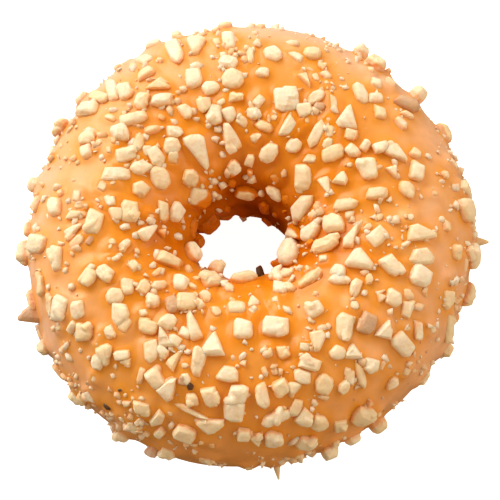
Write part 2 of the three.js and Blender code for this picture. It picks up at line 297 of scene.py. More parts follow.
    (205, 99.5, 203.5, 105.5, 2, BLOCK, BARE, 0),
    (203.5, 79, 201, 87, 3.1, BLOCK, DABBED, 0),
    (197.5, 74, 199.5, 76, 2.1, BLOCK, COATED, 0),
    (208.7, 95, 214.3, 88.5, 2.2, BLOCK, BARE, 0),
    (213, 95.5, 211.5, 97.5, 1.5, BLOCK, DABBED, 0),
    (193.8, 37, 199.3, 34, 1.8, BLOCK, BARE, 0),
    (194, 12, 199, 12, 1.2, BLOCK, DABBED, 0.4),
    (200.5, 42, 204.5, 37, 1.8, BLOCK, DABBED, 0),
    (203, 52, 208, 40, 3.1, BLOCK, COATED, 0),
    (208.5, 39, 210, 38, 1.7, BLOCK, COATED, 0),
    (206.5, 59.5, 211, 55.5, 3.2, BLOCK, COATED, 0),
    (212.5, 42.5, 211, 53, 1.8, SLIVER, BARE, 0),
    (213.3, 32, 215, 33, 1.3, SLIVER, DABBED, 0),
    (203.5, 4, 206.5, 2, 1.5, BLOCK, COATED, 0),
    (206.5, 3, 210, 3, 2.9, BLOCK, COATED, 0.8),
    (213, -2, 217.5, -4, 1.7, BLOCK, DABBED, 0),
    (217, 6, 219, 8, 1.5, PEBBLE, DABBED, 0),
    (219, 59, 219.5, 61, 1.1, PEBBLE, COATED, 0),
    (220.5, 54, 221, 56, 1, PEBBLE, COATED, 0),
    (218.5, 66, 223, 66.5, 2, PEBBLE, BARE, 0),
    (215, 82.5, 222, 74, 2.9, BLOCK, BARE, 0),
    (223.5, 71.5, 221.5, 80, 2.1, BLOCK, COATED, 0),
    (224.5, 43, 223.5, 52, 2.7, PEBBLE, BARE, 0),
    (222.5, 57, 226.8, 50, 2.9, WEDGE, BARE, 0),
    (227.5, 63, 229.5, 59, 2.9, BLOCK, DABBED, 0),
    (231, 57.5, 230, 60.5, 1.9, CHIP, BARE, 0),
    # near left quarter
    (213, 109, 211, 118, 1.1, SLIVER, BARE, 0),
    (216.3, 95.5, 214, 104, 2.1, BLOCK, DABBED, 0),
    (215.8, 103.5, 220.3, 113.5, 1.6, SLIVER, BARE, 0),
    (221, 95.5, 225, 102.5, 2.3, PEBBLE, BARE, 0),
    (221, 116, 227, 124, 4, PEBBLE, COATED, 0),
    (227, 132, 229.5, 131, 1.6, BLOCK, COATED, 0),
    (231, 121, 232, 125, 1.9, PEBBLE, COATED, 0),
    (236, 117, 237, 121, 1.3, SLIVER, COATED, 0),
    (241, 118, 242.5, 123.5, 2.3, BLOCK, COATED, 0),
    (240.3, 112, 243, 116, 2.3, BLOCK, COATED, 0),
    (226, 107, 233.5, 103, 2.9, PEBBLE, SKINNED, 0),
    (231.5, 96.5, 236, 91, 3.3, PEBBLE, COATED, 0),
    (239.3, 80, 233.8, 88.5, 2.9, WEDGE, BARE, 0),
    (242.5, 97, 242.5, 90, 2.1, BLOCK, DABBED, 0),
    (240.5, 89, 240.5, 83, 2.4, BLOCK, COATED, 0),
    (238.5, 79, 238.5, 74, 2.5, PEBBLE, DABBED, 0),
    (239, 72, 240, 73, 0.9, PEBBLE, DABBED, 0),
    (232.5, 78, 237.5, 68, 2.7, BLOCK, COATED, 0),
    (222.5, 90, 225.5, 88, 1.7, BLOCK, COATED, 0),
    (243.2, 69.5, 244.5, 80, 2.1, WEDGE, BARE, 0),
    (247.5, 76, 248.5, 73, 1.7, PEBBLE, COATED, 0),
    (251.2, 87, 252, 71.5, 2.5, BLOCK, DABBED, 0),
    (252, 90, 259.3, 92, 4.4, CHIP, DABBED, 0),
    (263, 112, 262.5, 121, 3.2, BLOCK, COATED, 0),
    (258.5, 122, 259.5, 124, 1.5, PEBBLE, DABBED, 0),
    (269.5, 120.5, 276.5, 121, 2.5, CHIP, DABBED, 0),
    (270.5, 113, 273, 115, 1.6, BLOCK, COATED, 0),
    (249.5, 111, 254, 114, 2.3, PEBBLE, COATED, 0),
    (251, 131, 256, 135, 2.8, PEBBLE, COATED, 0),
    (223, 162, 238, 158, 3.0, PEBBLE, DABBED, 1.5),
    (229, 140, 244, 132, 3.4, BLOCK, DABBED, 0.5),
    (237, 134, 241, 142, 3, WEDGE, COATED, 0),
    (252, 148, 276, 148, 2.4, PEBBLE, DABBED, 1.0),
    (248, 138, 253, 132, 1.9, WEDGE, DABBED, 0.5),
    (259.5, 76.5, 266, 72.5, 2.8, BLOCK, BARE, 0),
    (221, -3, 224.5, -6, 2.5, BLOCK, COATED, 0.4),
    (223.5, 4, 226, 4, 2.9, BLOCK, DABBED, 0),
    (225.5, 22, 229, 18, 1.9, BLOCK, COATED, 0),
    (225, 36, 227, 38, 1.5, BLOCK, COATED, 0),
    (231, 23, 233.5, 24, 1.3, PEBBLE, BURNT, 0),
    (233, 43.5, 234, 42.5, 0.9, PEBBLE, BURNT, 0),
    (236.2, 39, 237.5, 37, 1.9, CHIP, DABBED, 0),
    (235, 42, 236, 42, 0.9, PEBBLE, DABBED, 0),
    (234, 36, 235, 36, 0.9, PEBBLE, DABBED, 0),
    (236, 22.5, 238, 24, 1.5, BLOCK, COATED, 0),
    (239, 26, 241.5, 18, 2.1, BLOCK, COATED, 0),
    (235.5, -4, 239, -6, 2.7, BLOCK, COATED, 0.6),
    (240.5, 45, 241.5, 36, 3, BLOCK, COATED, 0),
    (240.8, 30, 242.3, 28, 2, BLOCK, DABBED, 0),
    (243, 21, 245, 20, 1.3, SLIVER, DABBED, 0),
    (246.3, 43, 245.3, 31.5, 2, BLOCK, BARE, 0),
    (246.2, 28.5, 248.5, 26, 2.5, BLOCK, DABBED, 0),
    (248.5, 46, 248.8, 43, 1, BLOCK, COATED, 0),
    (236, 62, 237.3, 53, 1.2, BLOCK, DABBED, 0),
    (244.7, 52.5, 246.2, 65, 3.1, WEDGE, DABBED, 0),
    (249, 66, 250.3, 68, 2.4, PEBBLE, COATED, 0),
    (250.8, 63.5, 252.3, 65, 1.5, PEBBLE, BURNT, 0.2),
    (247.2, 65, 250.2, 66.5, 2.0, PEBBLE, SKINNED, 0),
    (251.3, 56, 255.3, 57, 2.6, PEBBLE, BARE, 0),
    (248.3, 51.5, 258.8, 47.5, 1.4, SLIVER, BARE, 0),
    (256.7, 66, 259.5, 54.5, 2.9, BLOCK, DABBED, 0),
    (263.8, 62.5, 269.6, 62, 3.5, BLOCK, DABBED, 0),
    (263, 42, 256.5, 40.5, 2.8, CHIP, DABBED, 0),
    (250.7, 34, 256.3, 32.5, 3.5, PEBBLE, DABBED, 0),
    (254.6, 25.5, 255.8, 25.5, 1.1, PEBBLE, COATED, 0),
    (257, 27.5, 258.6, 27.5, 1.2, PEBBLE, COATED, 0),
    (260, 26.5, 261.6, 26.5, 1.2, PEBBLE, COATED, 0),
    (248.2, 6, 251.5, 6, 3, BLOCK, COATED, 0),
    (244.8, -2, 247.5, -4, 2.7, PEBBLE, SKINNED, 0.7),
    (257.5, 8, 261.5, 8, 1.9, BLOCK, COATED, 0),
    (268.8, 42, 268.9, 32.5, 2.5, BLOCK, DABBED, 0),
    (273.6, 33.5, 270.3, 32.5, 2.3, CHIP, BARE, 0),
    (269, -4, 271, -4, 1.7, BLOCK, COATED, 0),
    # near right quarter
    (284, 157, 290, 155, 1.9, PEBBLE, BURNT, 1.3),
    (304, 151, 296.5, 133, 2.4, PEBBLE, DABBED, 0),
    (322, 168, 310, 165, 1.9, PEBBLE, COATED, 0.5),
    (292.5, 128, 303, 121, 2.4, PEBBLE, DABBED, 0),
    (277.5, 134, 279.5, 134, 1.1, BLOCK, DABBED, 0),
    (289, 128, 298, 124, 2.9, BLOCK, COATED, 0),
    (286.5, 116, 288, 121, 1.5, BLOCK, COATED, 0),
    (287, 112, 288.5, 112, 1.3, PEBBLE, COATED, 0),
    (272.5, 113, 275, 117, 1.7, PEBBLE, COATED, 0),
    (304, 131, 309, 137, 2.8, PEBBLE, COATED, 0),
    (305, 122, 322, 116.5, 2.1, BLOCK, DABBED, 0),
    (318, 126, 321, 125, 1.5, BLOCK, COATED, 0),
    (333, 122, 329, 119, 1.7, BLOCK, COATED, 0),
    (326, 113, 328.5, 103, 2.9, PEBBLE, DABBED, 0),
    (321.5, 110, 326.5, 100.5, 2.2, PEBBLE, BARE, 0),
    (329.5, 95.5, 321, 90, 2, SLIVER, BARE, 0),
    (317, 87.5, 320, 85, 1.9, PEBBLE, COATED, 0),
    (313, 85.5, 306, 76, 2.9, BLOCK, BARE, 0),
    (315, 82, 312.5, 79, 1.4, BLOCK, BARE, 0),
    (319.5, 76.5, 313.5, 70.5, 3.1, BLOCK, SKINNED, 0),
    (304.5, 69.5, 309, 63, 2.5, CHIP, BARE, 0),
    (303, 74.5, 300.5, 67, 3.3, PEBBLE, DABBED, 0),
    (299, 88, 295.7, 78, 2.9, WEDGE, BARE, 0),
    (293.5, 76, 290.3, 69, 3.4, BLOCK, BARE, 0),
    (293, 85, 291.5, 81, 2.1, BLOCK, COATED, 0),
    (283.5, 89, 283.8, 80, 2.2, BLOCK, DABBED, 0),
    (286, 75, 285.5, 73, 1.1, PEBBLE, COATED, 0),
    (289, 70, 286.7, 63, 3, BLOCK, COATED, 0),
    (302.5, 58, 300.5, 50.5, 1.8, BLOCK, BARE, 0),
    (306, 59, 303.5, 44.5, 1.8, SLIVER, BARE, 0),
    (310.5, 55.5, 308, 50, 2.9, BLOCK, COATED, 0),
    (277.5, 87, 280, 86.5, 1.7, PEBBLE, COATED, 0),
    (330.5, 90.5, 332, 87, 1.9, PEBBLE, BARE, 0),
    (342.5, 87, 338.5, 75, 3.1, BLOCK, BARE, 0),
    (352.5, 29, 348, 27, 1.6, BLOCK, COATED, 0),
    (346, 40, 345, 39, 1.1, PEBBLE, COATED, 0),
    (349, 6, 343, 4, 2.3, BLOCK, DABBED, 0.9),
    (341.5, 38.5, 337, 33, 2.7, BLOCK, BARE, 0),
    (336.8, 29, 331.5, 16, 2.5, BLOCK, COATED, 0),
    (332, 2, 329, 2, 2.3, BLOCK, COATED, 0.9),
    (330.5, 37, 328.5, 36, 1.7, BLOCK, COATED, 0),
    (328.5, 50, 325, 41.5, 1.8, BLOCK, DABBED, 0),
    (325, 54, 324, 52, 1.3, BLOCK, COATED, 0),
    (332, 61, 327, 57.5, 2.1, BLOCK, BARE, 0),
    (335, 66, 332.5, 61, 1.6, BLOCK, BARE, 0),
    (333, 71, 327.5, 68.5, 2.8, BLOCK, BARE, 0),
    (329, 78.5, 326.5, 74.5, 1.5, CHIP, DABBED, 0),
    (317.8, 68, 320.8, 58.5, 3.3, CHIP, BARE, 0),
    (313.5, 50, 310.5, 46, 1.1, SLIVER, DABBED, 0),
    (317.5, 33.5, 315.5, 31, 1.7, BLOCK, COATED, 0),
    (323, 6, 318.5, 2, 1.9, BLOCK, COATED, 0),
    (273.8, 69, 275, 55, 2.2, BLOCK, DABBED, 0),
    (279.3, 69.5, 281.5, 60, 2.6, BLOCK, DABBED, 0),
    (285, 65, 283.3, 58, 2.3, WEDGE, BARE, 0),
    (273.3, 44.5, 281.5, 48, 2.5, PEBBLE, BARE, 0),
    (278.8, 52, 281, 51.5, 1, SLIVER, DABBED, 0),
    (284.8, 54, 282.5, 45, 1.9, BLOCK, BARE, 0),
    (287, 46, 283.5, 38.5, 2.9, BLOCK, DABBED, 0),
    (287, 38.5, 290.8, 32, 3.2, PEBBLE, DABBED, 0),
    (276.3, 37, 276.8, 25.5, 3.7, PEBBLE, DABBED, 0),
    (282.8, 25, 286.8, 18, 3.1, BLOCK, DABBED, 0),
    (298.3, 54, 299.5, 48, 2.7, PEBBLE, BARE, 0),
    (294.5, 31.5, 293.5, 22, 2.5, BLOCK, COATED, 0),
    (298.5, 31, 302.5, 15, 3.5, PEBBLE, DABBED, 0),
    (304.5, 32, 303.5, 28, 1.3, CHIP, DABBED, 0),
    (288.5, -3, 292.5, -5, 3.6, PEBBLE, COATED, 0.9),
    (291.5, 4, 293.5, 4, 1.9, BLOCK, COATED, 0),
    (295.5, -4, 299, -6, 2.5, PEBBLE, COATED, 0.5),
    (281.5, 4, 283, 4, 1.3, PEBBLE, COATED, 0),
    (304.5, 14, 305.5, 10, 1.1, SLIVER, COATED, 0),
    (303, -8, 307, -9, 3, PEBBLE, DABBED, 0.8),
    (309.3, 31, 313.8, 32, 1.9, PEBBLE, BARE, 0),
    # low on the far wall of the hole
    (134, 184, 116, 189, 1.7, PEBBLE, COATED, 0.3),
    (66, 185, 46, 189, 1.6, PEBBLE, COATED, 0.3),
    (101, 189, 92, 190, 1.2, PEBBLE, COATED, 0.1),
)

# finish of the nuts that are solids of their own, by number; the others are bare
SOLID_NUT_FINISH = {
    1: DABBED, 4: DABBED, 8: COATED, 12: DABBED, 13: DABBED, 14: DABBED, 15: DABBED, 17: DABBED,
    22: COATED, 29: DABBED, 30: COATED, 34: COATED, 42: SKINNED, 41: DABBED,
    45: DABBED, 49: DABBED, 56: COATED, 57: DABBED,
}

# outline of a cut nut seen from above, in a box from -0.5 to 0.5 each way
CUT_OUTLINES = {
    BLOCK: ((-0.5, -0.36), (-0.3, -0.5), (0.36, -0.48), (0.5, -0.2), (0.46, 0.34), (0.2, 0.5),
            (-0.4, 0.46)),
    WEDGE: ((-0.5, -0.42), (-0.36, -0.5), (0.5, -0.1), (0.46, 0.14), (-0.3, 0.5), (-0.48, 0.36)),
    PEBBLE: ((-0.5, -0.06), (-0.38, -0.36), (-0.05, -0.5), (0.32, -0.4), (0.5, -0.08),
             (0.42, 0.32), (0.1, 0.5), (-0.32, 0.42)),
    SLIVER: ((-0.5, -0.16), (-0.2, -0.46), (0.34, -0.36), (0.5, 0.06), (0.3, 0.42), (-0.3, 0.5)),
    CHIP: ((-0.5, -0.5), (0.5, -0.5), (0.46, -0.2), (0.1, 0.5), (-0.06, 0.48), (-0.48, -0.2)),
}
# level up the nut from -0.5 to 0.5, and how wide its outline is there
NUT_LEVELS = ((-0.5, 0.7), (-0.1, 1.0), (0.26, 0.95), (0.5, 0.7))

# share of a nut covered by glaze, and how dark its skin is, for each finish
FINISH_COAT = {BARE: 0.0, DABBED: 0.28, COATED: 1.0, SKINNED: 0.75, BURNT: 0.5}
FINISH_SKIN = {BARE: 0.0, DABBED: 0.0, COATED: 0.0, SKINNED: 0.6, BURNT: 1.0}


# ---- the ring's surface ----
def outer_radius(bearing):
    """Radius of the ring's outline, with its bulges; bearings in radians, the result in mm."""
    radius = np.full_like(bearing, GLAZE_RADIUS)
    for times, size, at in OUTLINE_BULGES:
        radius = radius + size * np.cos(times * (bearing - math.radians(at)))
    return radius


def hole_radius(bearing):
    """How far the wall of the oval, off-centre hole is from the ring's axis, in mm."""
    dx, dy = np.cos(bearing) / HOLE_HALF[0], np.sin(bearing) / HOLE_HALF[1]
    cx, cy = HOLE_CENTRE[0] / HOLE_HALF[0], HOLE_CENTRE[1] / HOLE_HALF[1]
    a = dx * dx + dy * dy
    b = -2 * (dx * cx + dy * cy)
    c = cx * cx + cy * cy - 1
    return (-b + np.sqrt(b * b - 4 * a * c)) / (2 * a)


def ring_points(bearing, section, inset):
    """Points of the ring in metres, in the solids' frame; angles in radians, inset in mm."""
    bearing, section = np.broadcast_arrays(bearing, section)
    outer, hole = outer_radius(bearing), hole_radius(bearing)
    half_width = (outer - hole) / 2 - inset
    c, s = np.cos(section), np.sin(section)
    n = SECTION_SQUARENESS
    r = (np.abs(c) ** n + np.abs(s) ** n) ** (-1 / n)
    from_axis = (outer + hole) / 2 + half_width * r * c
    z = SECTION_CENTRE_Z + (SECTION_HALF_HEIGHT - inset) * r * s
    flat = np.stack([from_axis * np.cos(bearing), from_axis * np.sin(bearing), z], axis=-1)
    return flat * MM + ring_shift


def find_ring_shift():
    """Where the ring's axis and level lie in the solids' frame, from the dough's own box."""
    low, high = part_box("dough_ring")
    bearing = np.radians(np.arange(0.0, 360.0, 6.0))
    reach = outer_radius(bearing) - DOUGH_INSET
    x, y = reach * np.cos(bearing), reach * np.sin(bearing)
    return np.array([
        (low.x + high.x) / 2 - MM * (x.min() + x.max()) / 2,
        (low.y + high.y) / 2 - MM * (y.min() + y.max()) / 2,
        low.z - MM * BASE_LEVEL,
    ])


ring_shift = find_ring_shift()


def point_at(bearing, section):
    """One point of the glaze's plain surface, angles in degrees."""
    return Vector(ring_points(np.radians(float(bearing)), np.radians(float(section)), 0.0))


def frame_at(bearing, section):
    """A place on the glaze and its outward direction, angles in degrees."""
    here = point_at(bearing, section)
    onward = point_at(bearing + 0.5, section) - here
    upward = point_at(bearing, section + 0.5) - here
    return here, onward.cross(upward).normalized()


def jitter(seed, draw):
    """A repeatable number from -1 to 1: the digits of a sine, far after the point."""
    s = math.sin(seed * 12.9898 + draw * 78.233) * 43758.5453
    return 2 * (s - math.floor(s)) - 1


def waves(bearing, section, shapes):
    """Sum of sines over the ring, each (height, turns round, turns across, start)."""
    return sum(height * np.sin(turns_round * bearing + turns_across * section + start)
               for height, turns_round, turns_across, start in shapes)


def ring_faces(steps_round, steps_section):
    """Four-sided faces of a grid of points that closes both round the ring and round its section."""
    faces = []
    for i in range(steps_round):
        here, onward = i * steps_section, ((i + 1) % steps_round) * steps_section
        for j in range(steps_section):
            k = (j + 1) % steps_section
            faces.append((here + j, onward + j, onward + k, here + k))
    return faces


def new_object(name, mesh):
    obj = bpy.data.objects.new(name, mesh)
    bpy.context.scene.collection.objects.link(obj)
    return obj


def mesh_from(name, points, faces, smooth=True):
    mesh = bpy.data.meshes.new(name)
    mesh.from_pydata([tuple(p) for p in points], [], faces)
    mesh.update()
    if smooth:
        mesh.shade_smooth()
    return mesh


def set_attribute(mesh, name, values):
    """Gives every point of a mesh a number that its material can read."""
    layer = mesh.attributes.new(name, "FLOAT", "POINT")
    layer.data.foreach_set("value", np.asarray(values, np.float32))


# ---- nuts ----
Nut = namedtuple("Nut", "points faces finish seed is_solid")


def round_off(corners, width):
    """Hull of the corners with rounded edges, crowned faces and rough cuts, as (points, faces)."""
    bm = bmesh.new()
    for corner in corners:
        bm.verts.new(corner)
    made = bmesh.ops.convex_hull(bm, input=bm.verts)
    spare = [e for e in made["geom_interior"] if isinstance(e, bmesh.types.BMVert)]
    bmesh.ops.delete(bm, geom=spare, context="VERTS")
    bmesh.ops.dissolve_limit(bm, angle_limit=FLAT_WITHIN, verts=bm.verts, edges=bm.edges)
    bmesh.ops.bevel(
        bm, geom=list(bm.edges), offset=EDGE_ROUND * width, offset_type="OFFSET", segments=2,
        profile=0.5, affect="EDGES", clamp_overlap=True)
    bmesh.ops.remove_doubles(bm, verts=bm.verts, dist=SAME_ROUNDED_POINT)
    bmesh.ops.recalc_face_normals(bm, faces=bm.faces)
    wide_faces = [f for f in bm.faces if len(f.verts) > PLAIN_SIDES
                  or f.calc_area() > CROWN_FROM_AREA * width * width]
    bmesh.ops.poke(bm, faces=wide_faces, offset=CROWN * width, center_mode="MEAN_WEIGHTED")
    for v in bm.verts:
        shove = noise.noise_vector(v.co * CUT_GRAIN)
        v.co += shove * min(ROUGH_CUT * width, DEEPEST_CUT)
    bm.verts.index_update()
    points = np.array([v.co for v in bm.verts])
    faces = [[v.index for v in f.verts] for f in bm.faces]
    bm.free()
    return points, faces


def strewn_nut_corners(seed, row):
    """The corners of a small nut, laid along its row's two places and strayed a little."""
    bearing_a, section_a, bearing_b, section_b, width, cut, _finish, extra_height = row
    start, end = point_at(bearing_a, section_a), point_at(bearing_b, section_b)
    centre, out = frame_at((bearing_a + bearing_b) / 2, (section_a + section_b) / 2)
    along = end - start
    length = max(along.length, SHORTEST_SHARE * width * MM) * NUT_GROWTH
    along = (along - out * along.dot(out)).normalized()
    across = out.cross(along)
    width = width * MM * NUT_GROWTH
    stands = min(LOWEST_NUT + HEIGHT_WITH_WIDTH * width, TALLEST_NUT)
    stands += EXTRA_HEIGHT_USED * extra_height
    tall = (NUT_SINK + stands) * MM
    centre = centre + out * (tall / 2 - NUT_SINK * MM)
    roll = Matrix.Rotation(NUT_ROLL * jitter(seed, ROLL_NUT), 3, along)
    pitch = Matrix.Rotation(NUT_PITCH * jitter(seed, PITCH_NUT), 3, across)
    turn = roll @ pitch
    corners = []
    for level, spread in NUT_LEVELS:
        slip = CORNER_STRAY * level
        for k, (x, y) in enumerate(CUT_OUTLINES[cut]):
            stray_x = CORNER_STRAY * jitter(seed, CORNER_ALONG + k)
            stray_y = CORNER_STRAY * jitter(seed, CORNER_ACROSS + k)
            px = spread * (x + stray_x) + slip * jitter(seed, SLIP_ALONG)
            py = spread * (y + stray_y) + slip * jitter(seed, SLIP_ACROSS)
            pz = level + CORNER_STRAY * level * jitter(seed, CORNER_UP + k)
            corners.append(centre + turn @ (
                along * (px * length) + across * (py * width) + out * (pz * tall)))
    return corners


def solid_nut_corners(node):
    """The corners of a nut that is a solid, from a copy of its mesh with its doubles merged."""
    bm = bmesh.new()
    bm.from_mesh(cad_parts[node].data)
    bmesh.ops.remove_doubles(bm, verts=bm.verts, dist=SAME_POINT)
    corners = [v.co.copy() for v in bm.verts]
    bm.free()
    middle = sum(corners, Vector()) / len(corners)
    return [middle + (corner - middle) * SOLID_NUT_GROWTH for corner in corners]


def knob_corners(corners, seed):
    """A smaller chunk broken half free of a nut, towards one of its corners."""
    middle = sum(corners, Vector()) / len(corners)
    pick = corners[int(abs(jitter(seed, PICK_KNOB_CORNER)) * (len(corners) - 1))]
    reach = (pick - middle) * KNOB_REACH
    turn = Matrix.Rotation(KNOB_TWIST * jitter(seed, TWIST_KNOB), 3, reach.normalized())
    return [middle + reach + turn @ ((corner - middle) * KNOB_SIZE) for corner in corners]


def grow_together(pairs):
    """The union of each pair of chunks, as (points, faces)."""
    made = []
    for pair in pairs:
        body, knob = [new_object("chunk", mesh_from("chunk", *chunk)) for chunk in pair]
        union = body.modifiers.new("union", "BOOLEAN")
        union.operation = "UNION"
        union.solver = "MANIFOLD"
        union.object = knob
        made.append((body, knob))
    graph = bpy.context.evaluated_depsgraph_get()
    results = []
    for body, _knob in made:
        grown = body.evaluated_get(graph)
        mesh = grown.to_mesh()
        points = np.array([v.co for v in mesh.vertices])
        results.append((points, [list(f.vertices) for f in mesh.polygons]))
        grown.to_mesh_clear()
    for pair in made:
        for chunk in pair:
            mesh = chunk.data
            bpy.data.objects.remove(chunk)
            bpy.data.meshes.remove(mesh)
    return results


solid_nut_names = sorted(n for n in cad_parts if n.startswith("chopped_nut_"))


def nuts_to_cut():
    """(corners, width, finish, seed, is a solid) of every nut, the solid ones first."""
    cuts = []
    for node in solid_nut_names:
        number = int(node[-2:])
        low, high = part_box(node)
        finish = SOLID_NUT_FINISH.get(number, BARE)
        cuts.append((solid_nut_corners(node), min(high - low), finish, number, True))
    for seed, row in enumerate(STREWN_NUTS, FIRST_STREWN_SEED):
        *_ends, width, _cut, finish, _extra_height = row
        cuts.append((strewn_nut_corners(seed, row), width * MM, finish, seed, False))
    return cuts


def build_nuts():
    """Every nut, rounded off; most of middling width are two chunks grown together."""
    nuts, pairs = [], []
    for corners, width, finish, seed, is_solid in nuts_to_cut():
        points, faces = round_off(corners, width)
        if KNOB_FROM_WIDTH < width < KNOB_TO_WIDTH and jitter(seed, WANT_KNOB) > KNOB_FROM_DRAW:
            knob = round_off(knob_corners(corners, seed), width)
            pairs.append((len(nuts), (points, faces), knob))
        nuts.append(Nut(points, faces, finish, seed, is_solid))
    grown = grow_together([(body, knob) for _at, body, knob in pairs])
    for (at, _body, _knob), (points, faces) in zip(pairs, grown):
        nuts[at] = nuts[at]._replace(points=points, faces=faces)
    return nuts


def all_together(nuts):
    """The points and the faces of several nuts, in one list each."""
    points, faces, base = [], [], 0
    for nut in nuts:
        points += [tuple(p) for p in nut.points]
        faces += [[base + i for i in face] for face in nut.faces]
        base += len(nut.points)
    return points, faces


def join_nuts(name, nuts):
    """One piece of several nuts, with the numbers their material reads."""
    points, faces = all_together(nuts)
    mesh = mesh_from(name, points, faces)
    counts = [len(nut.points) for nut in nuts]
    coat = [FINISH_COAT[nut.finish] for nut in nuts]
    skin = [FINISH_SKIN[nut.finish] for nut in nuts]
    tone = [0.5 + 0.5 * jitter(nut.seed, FLESH_TONE) for nut in nuts]
    set_attribute(mesh, "coat", np.repeat(coat, counts))
    set_attribute(mesh, "skin", np.repeat(skin, counts))
    set_attribute(mesh, "tone", np.repeat(tone, counts))
    set_attribute(mesh, "rise", [height_above_glaze(Vector(p)) / MM for p in points])
    return new_object(name, mesh)


def plain_ring_tree(steps_round=240, steps_section=80):
    """The glaze's plain surface, for measuring how far points stand out of it."""
    bearing = np.linspace(0, 2 * math.pi, steps_round, endpoint=False)
    section = np.linspace(0, 2 * math.pi, steps_section, endpoint=False)
    grid = ring_points(bearing[:, None], section[None, :], 0.0).reshape(-1, 3)
    return BVHTree.FromPolygons([tuple(p) for p in grid], ring_faces(steps_round, steps_section))


plain_ring = plain_ring_tree()


def height_above_glaze(point):
    """How far a point stands out of the glaze's plain surface, in metres; negative when sunk."""
    near, normal, _face, distance = plain_ring.find_nearest(point)
    return math.copysign(distance, (point - near).dot(normal))


# ---- glaze ----
# steps round the ring, and round the coat's section: outside, over each lip, and inside
GLAZE_ROUND = 640
GLAZE_OUTSIDE = 124
GLAZE_LIP_STEPS = 5
GLAZE_INSIDE = 5

# how far from a nut the rim of glaze round it starts, and how high it climbs
RIM_REACH = 0.8 * MM
RIM_RISE = 0.3 * MM
RIM_CURVE = 1.5
COATED_REACH = 1.1 * MM
COATED_RISE = 0.75 * MM
COATED_CURVE = 1.6
# how far round a bare nut the glaze is amber, partly as thin glaze and partly as painted contact shade
AMBER_REACH = 2.1 * MM
# the bead along the coat's lower edges: height, then place and width as shares of the way across
LIP_BEAD = 0.45 * MM
LIP_BEAD_AT = 0.035
LIP_BEAD_WIDTH = 0.02
# how far the lip bulges past the edge, in radians of the section
LIP_BULGE = 0.05
# the coat's slow swelling in mm, and how steeply it dies away at the edges
SWELL_WAVES = ((0.16, 3, 2, 1.3), (0.12, 7, -3, 0.0), (0.07, 13, 5, 2.0))
SWELL_FADE = 8


def glaze_rows(bearing):
    """(section angles, inset in mm) of each row of points, once round the coat's own section."""
    low = np.radians(
        GLAZE_LIP_OUTER + LIP_WAVE * np.sin(5 * bearing + 1) + 0.5 * LIP_WAVE * np.sin(11 * bearing))
    high = np.radians(
        GLAZE_LIP_HOLE + LIP_WAVE * np.sin(3 * bearing + 2) + 0.5 * LIP_WAVE * np.sin(7 * bearing))
    turns = [k / GLAZE_LIP_STEPS * math.pi for k in range(1, GLAZE_LIP_STEPS)]
    outside = [(low + (high - low) * (k / GLAZE_OUTSIDE), 0.0) for k in range(GLAZE_OUTSIDE + 1)]
    hole_lip = [(high + LIP_BULGE * math.sin(turn), GLAZE_THICKNESS * (1 - math.cos(turn)) / 2)
                for turn in turns]
    inside = [(high + (low - high) * (k / GLAZE_INSIDE), GLAZE_THICKNESS)
              for k in range(GLAZE_INSIDE + 1)]
    outer_lip = [(low - LIP_BULGE * math.sin(turn), GLAZE_THICKNESS * (1 + math.cos(turn)) / 2)
                 for turn in turns]
    return outside + hole_lip + inside + outer_lip


def outward(grid):
    """Unit directions out of a surface, from the neighbours of each of its points."""
    along = np.roll(grid, -1, axis=0) - np.roll(grid, 1, axis=0)
    up = np.empty_like(grid)
    up[:, 1:-1] = grid[:, 2:] - grid[:, :-2]
    up[:, 0], up[:, -1] = grid[:, 1] - grid[:, 0], grid[:, -1] - grid[:, -2]
    out = np.cross(along, up)
    return out / np.linalg.norm(out, axis=2, keepdims=True)


def fade(distance, reach, curve):
    """From 1 at no distance towards 0 well past the reach."""
    return math.exp(-(distance / reach) ** curve)


def build_glaze(nuts):
    """The coat: swelling slowly, beaded at its lower edges, drawn up in a rim round every nut."""
    bearing = np.linspace(0, 2 * math.pi, GLAZE_ROUND, endpoint=False)
    rows = glaze_rows(bearing)
    grid = np.stack([ring_points(bearing, *row) for row in rows], axis=1)
    bare_tree = BVHTree.FromPolygons(*all_together([n for n in nuts if n.finish != COATED]))
    coated_tree = BVHTree.FromPolygons(*all_together([n for n in nuts if n.finish == COATED]))
    thick = np.zeros(grid.shape[:2])
    near_nut = np.zeros(grid.shape[:2])
    for j in range(GLAZE_OUTSIDE + 1):
        t = j / GLAZE_OUTSIDE
        edge_fade = min(1.0, SWELL_FADE * t, SWELL_FADE * (1 - t))
        swell = waves(bearing, rows[j][0], SWELL_WAVES) * MM * edge_fade
        lip = LIP_BEAD * (fade(t - LIP_BEAD_AT, LIP_BEAD_WIDTH, 2)
                          + fade(1 - t - LIP_BEAD_AT, LIP_BEAD_WIDTH, 2))
        for i in range(GLAZE_ROUND):
            point = Vector(grid[i, j])
            to_bare = bare_tree.find_nearest(point)[3]
            to_coated = coated_tree.find_nearest(point)[3]
            rim = max(RIM_RISE * fade(to_bare, RIM_REACH, RIM_CURVE),
                      COATED_RISE * fade(to_coated, COATED_REACH, COATED_CURVE))
            thick[i, j] = swell[i] + lip + rim
            near_nut[i, j] = fade(to_bare, AMBER_REACH, RIM_CURVE)
    grid += outward(grid) * thick[..., None]
    faces = ring_faces(GLAZE_ROUND, len(rows))
    mesh = mesh_from("caramel_glaze_coat", grid.reshape(-1, 3), faces)
    set_attribute(mesh, "near_nut", near_nut.reshape(-1))
    return new_object("caramel_glaze_coat", mesh)


# ---- dough ----
DOUGH_ROUND = 300
DOUGH_SECTION = 110
# how far its skin lies inside the solid's, in mm, and its ripples
DOUGH_CLEARANCE = 0.36
DOUGH_RIPPLES = ((0.14, 9, 4, 0), (0.12, 17, -7, 1), (0.08, 31, 11, 2))
# creases lift the flat underside, except along the lowest line of the section, by its sine
CREASE = 0.05 * MM
LOWEST_LINE = -0.97


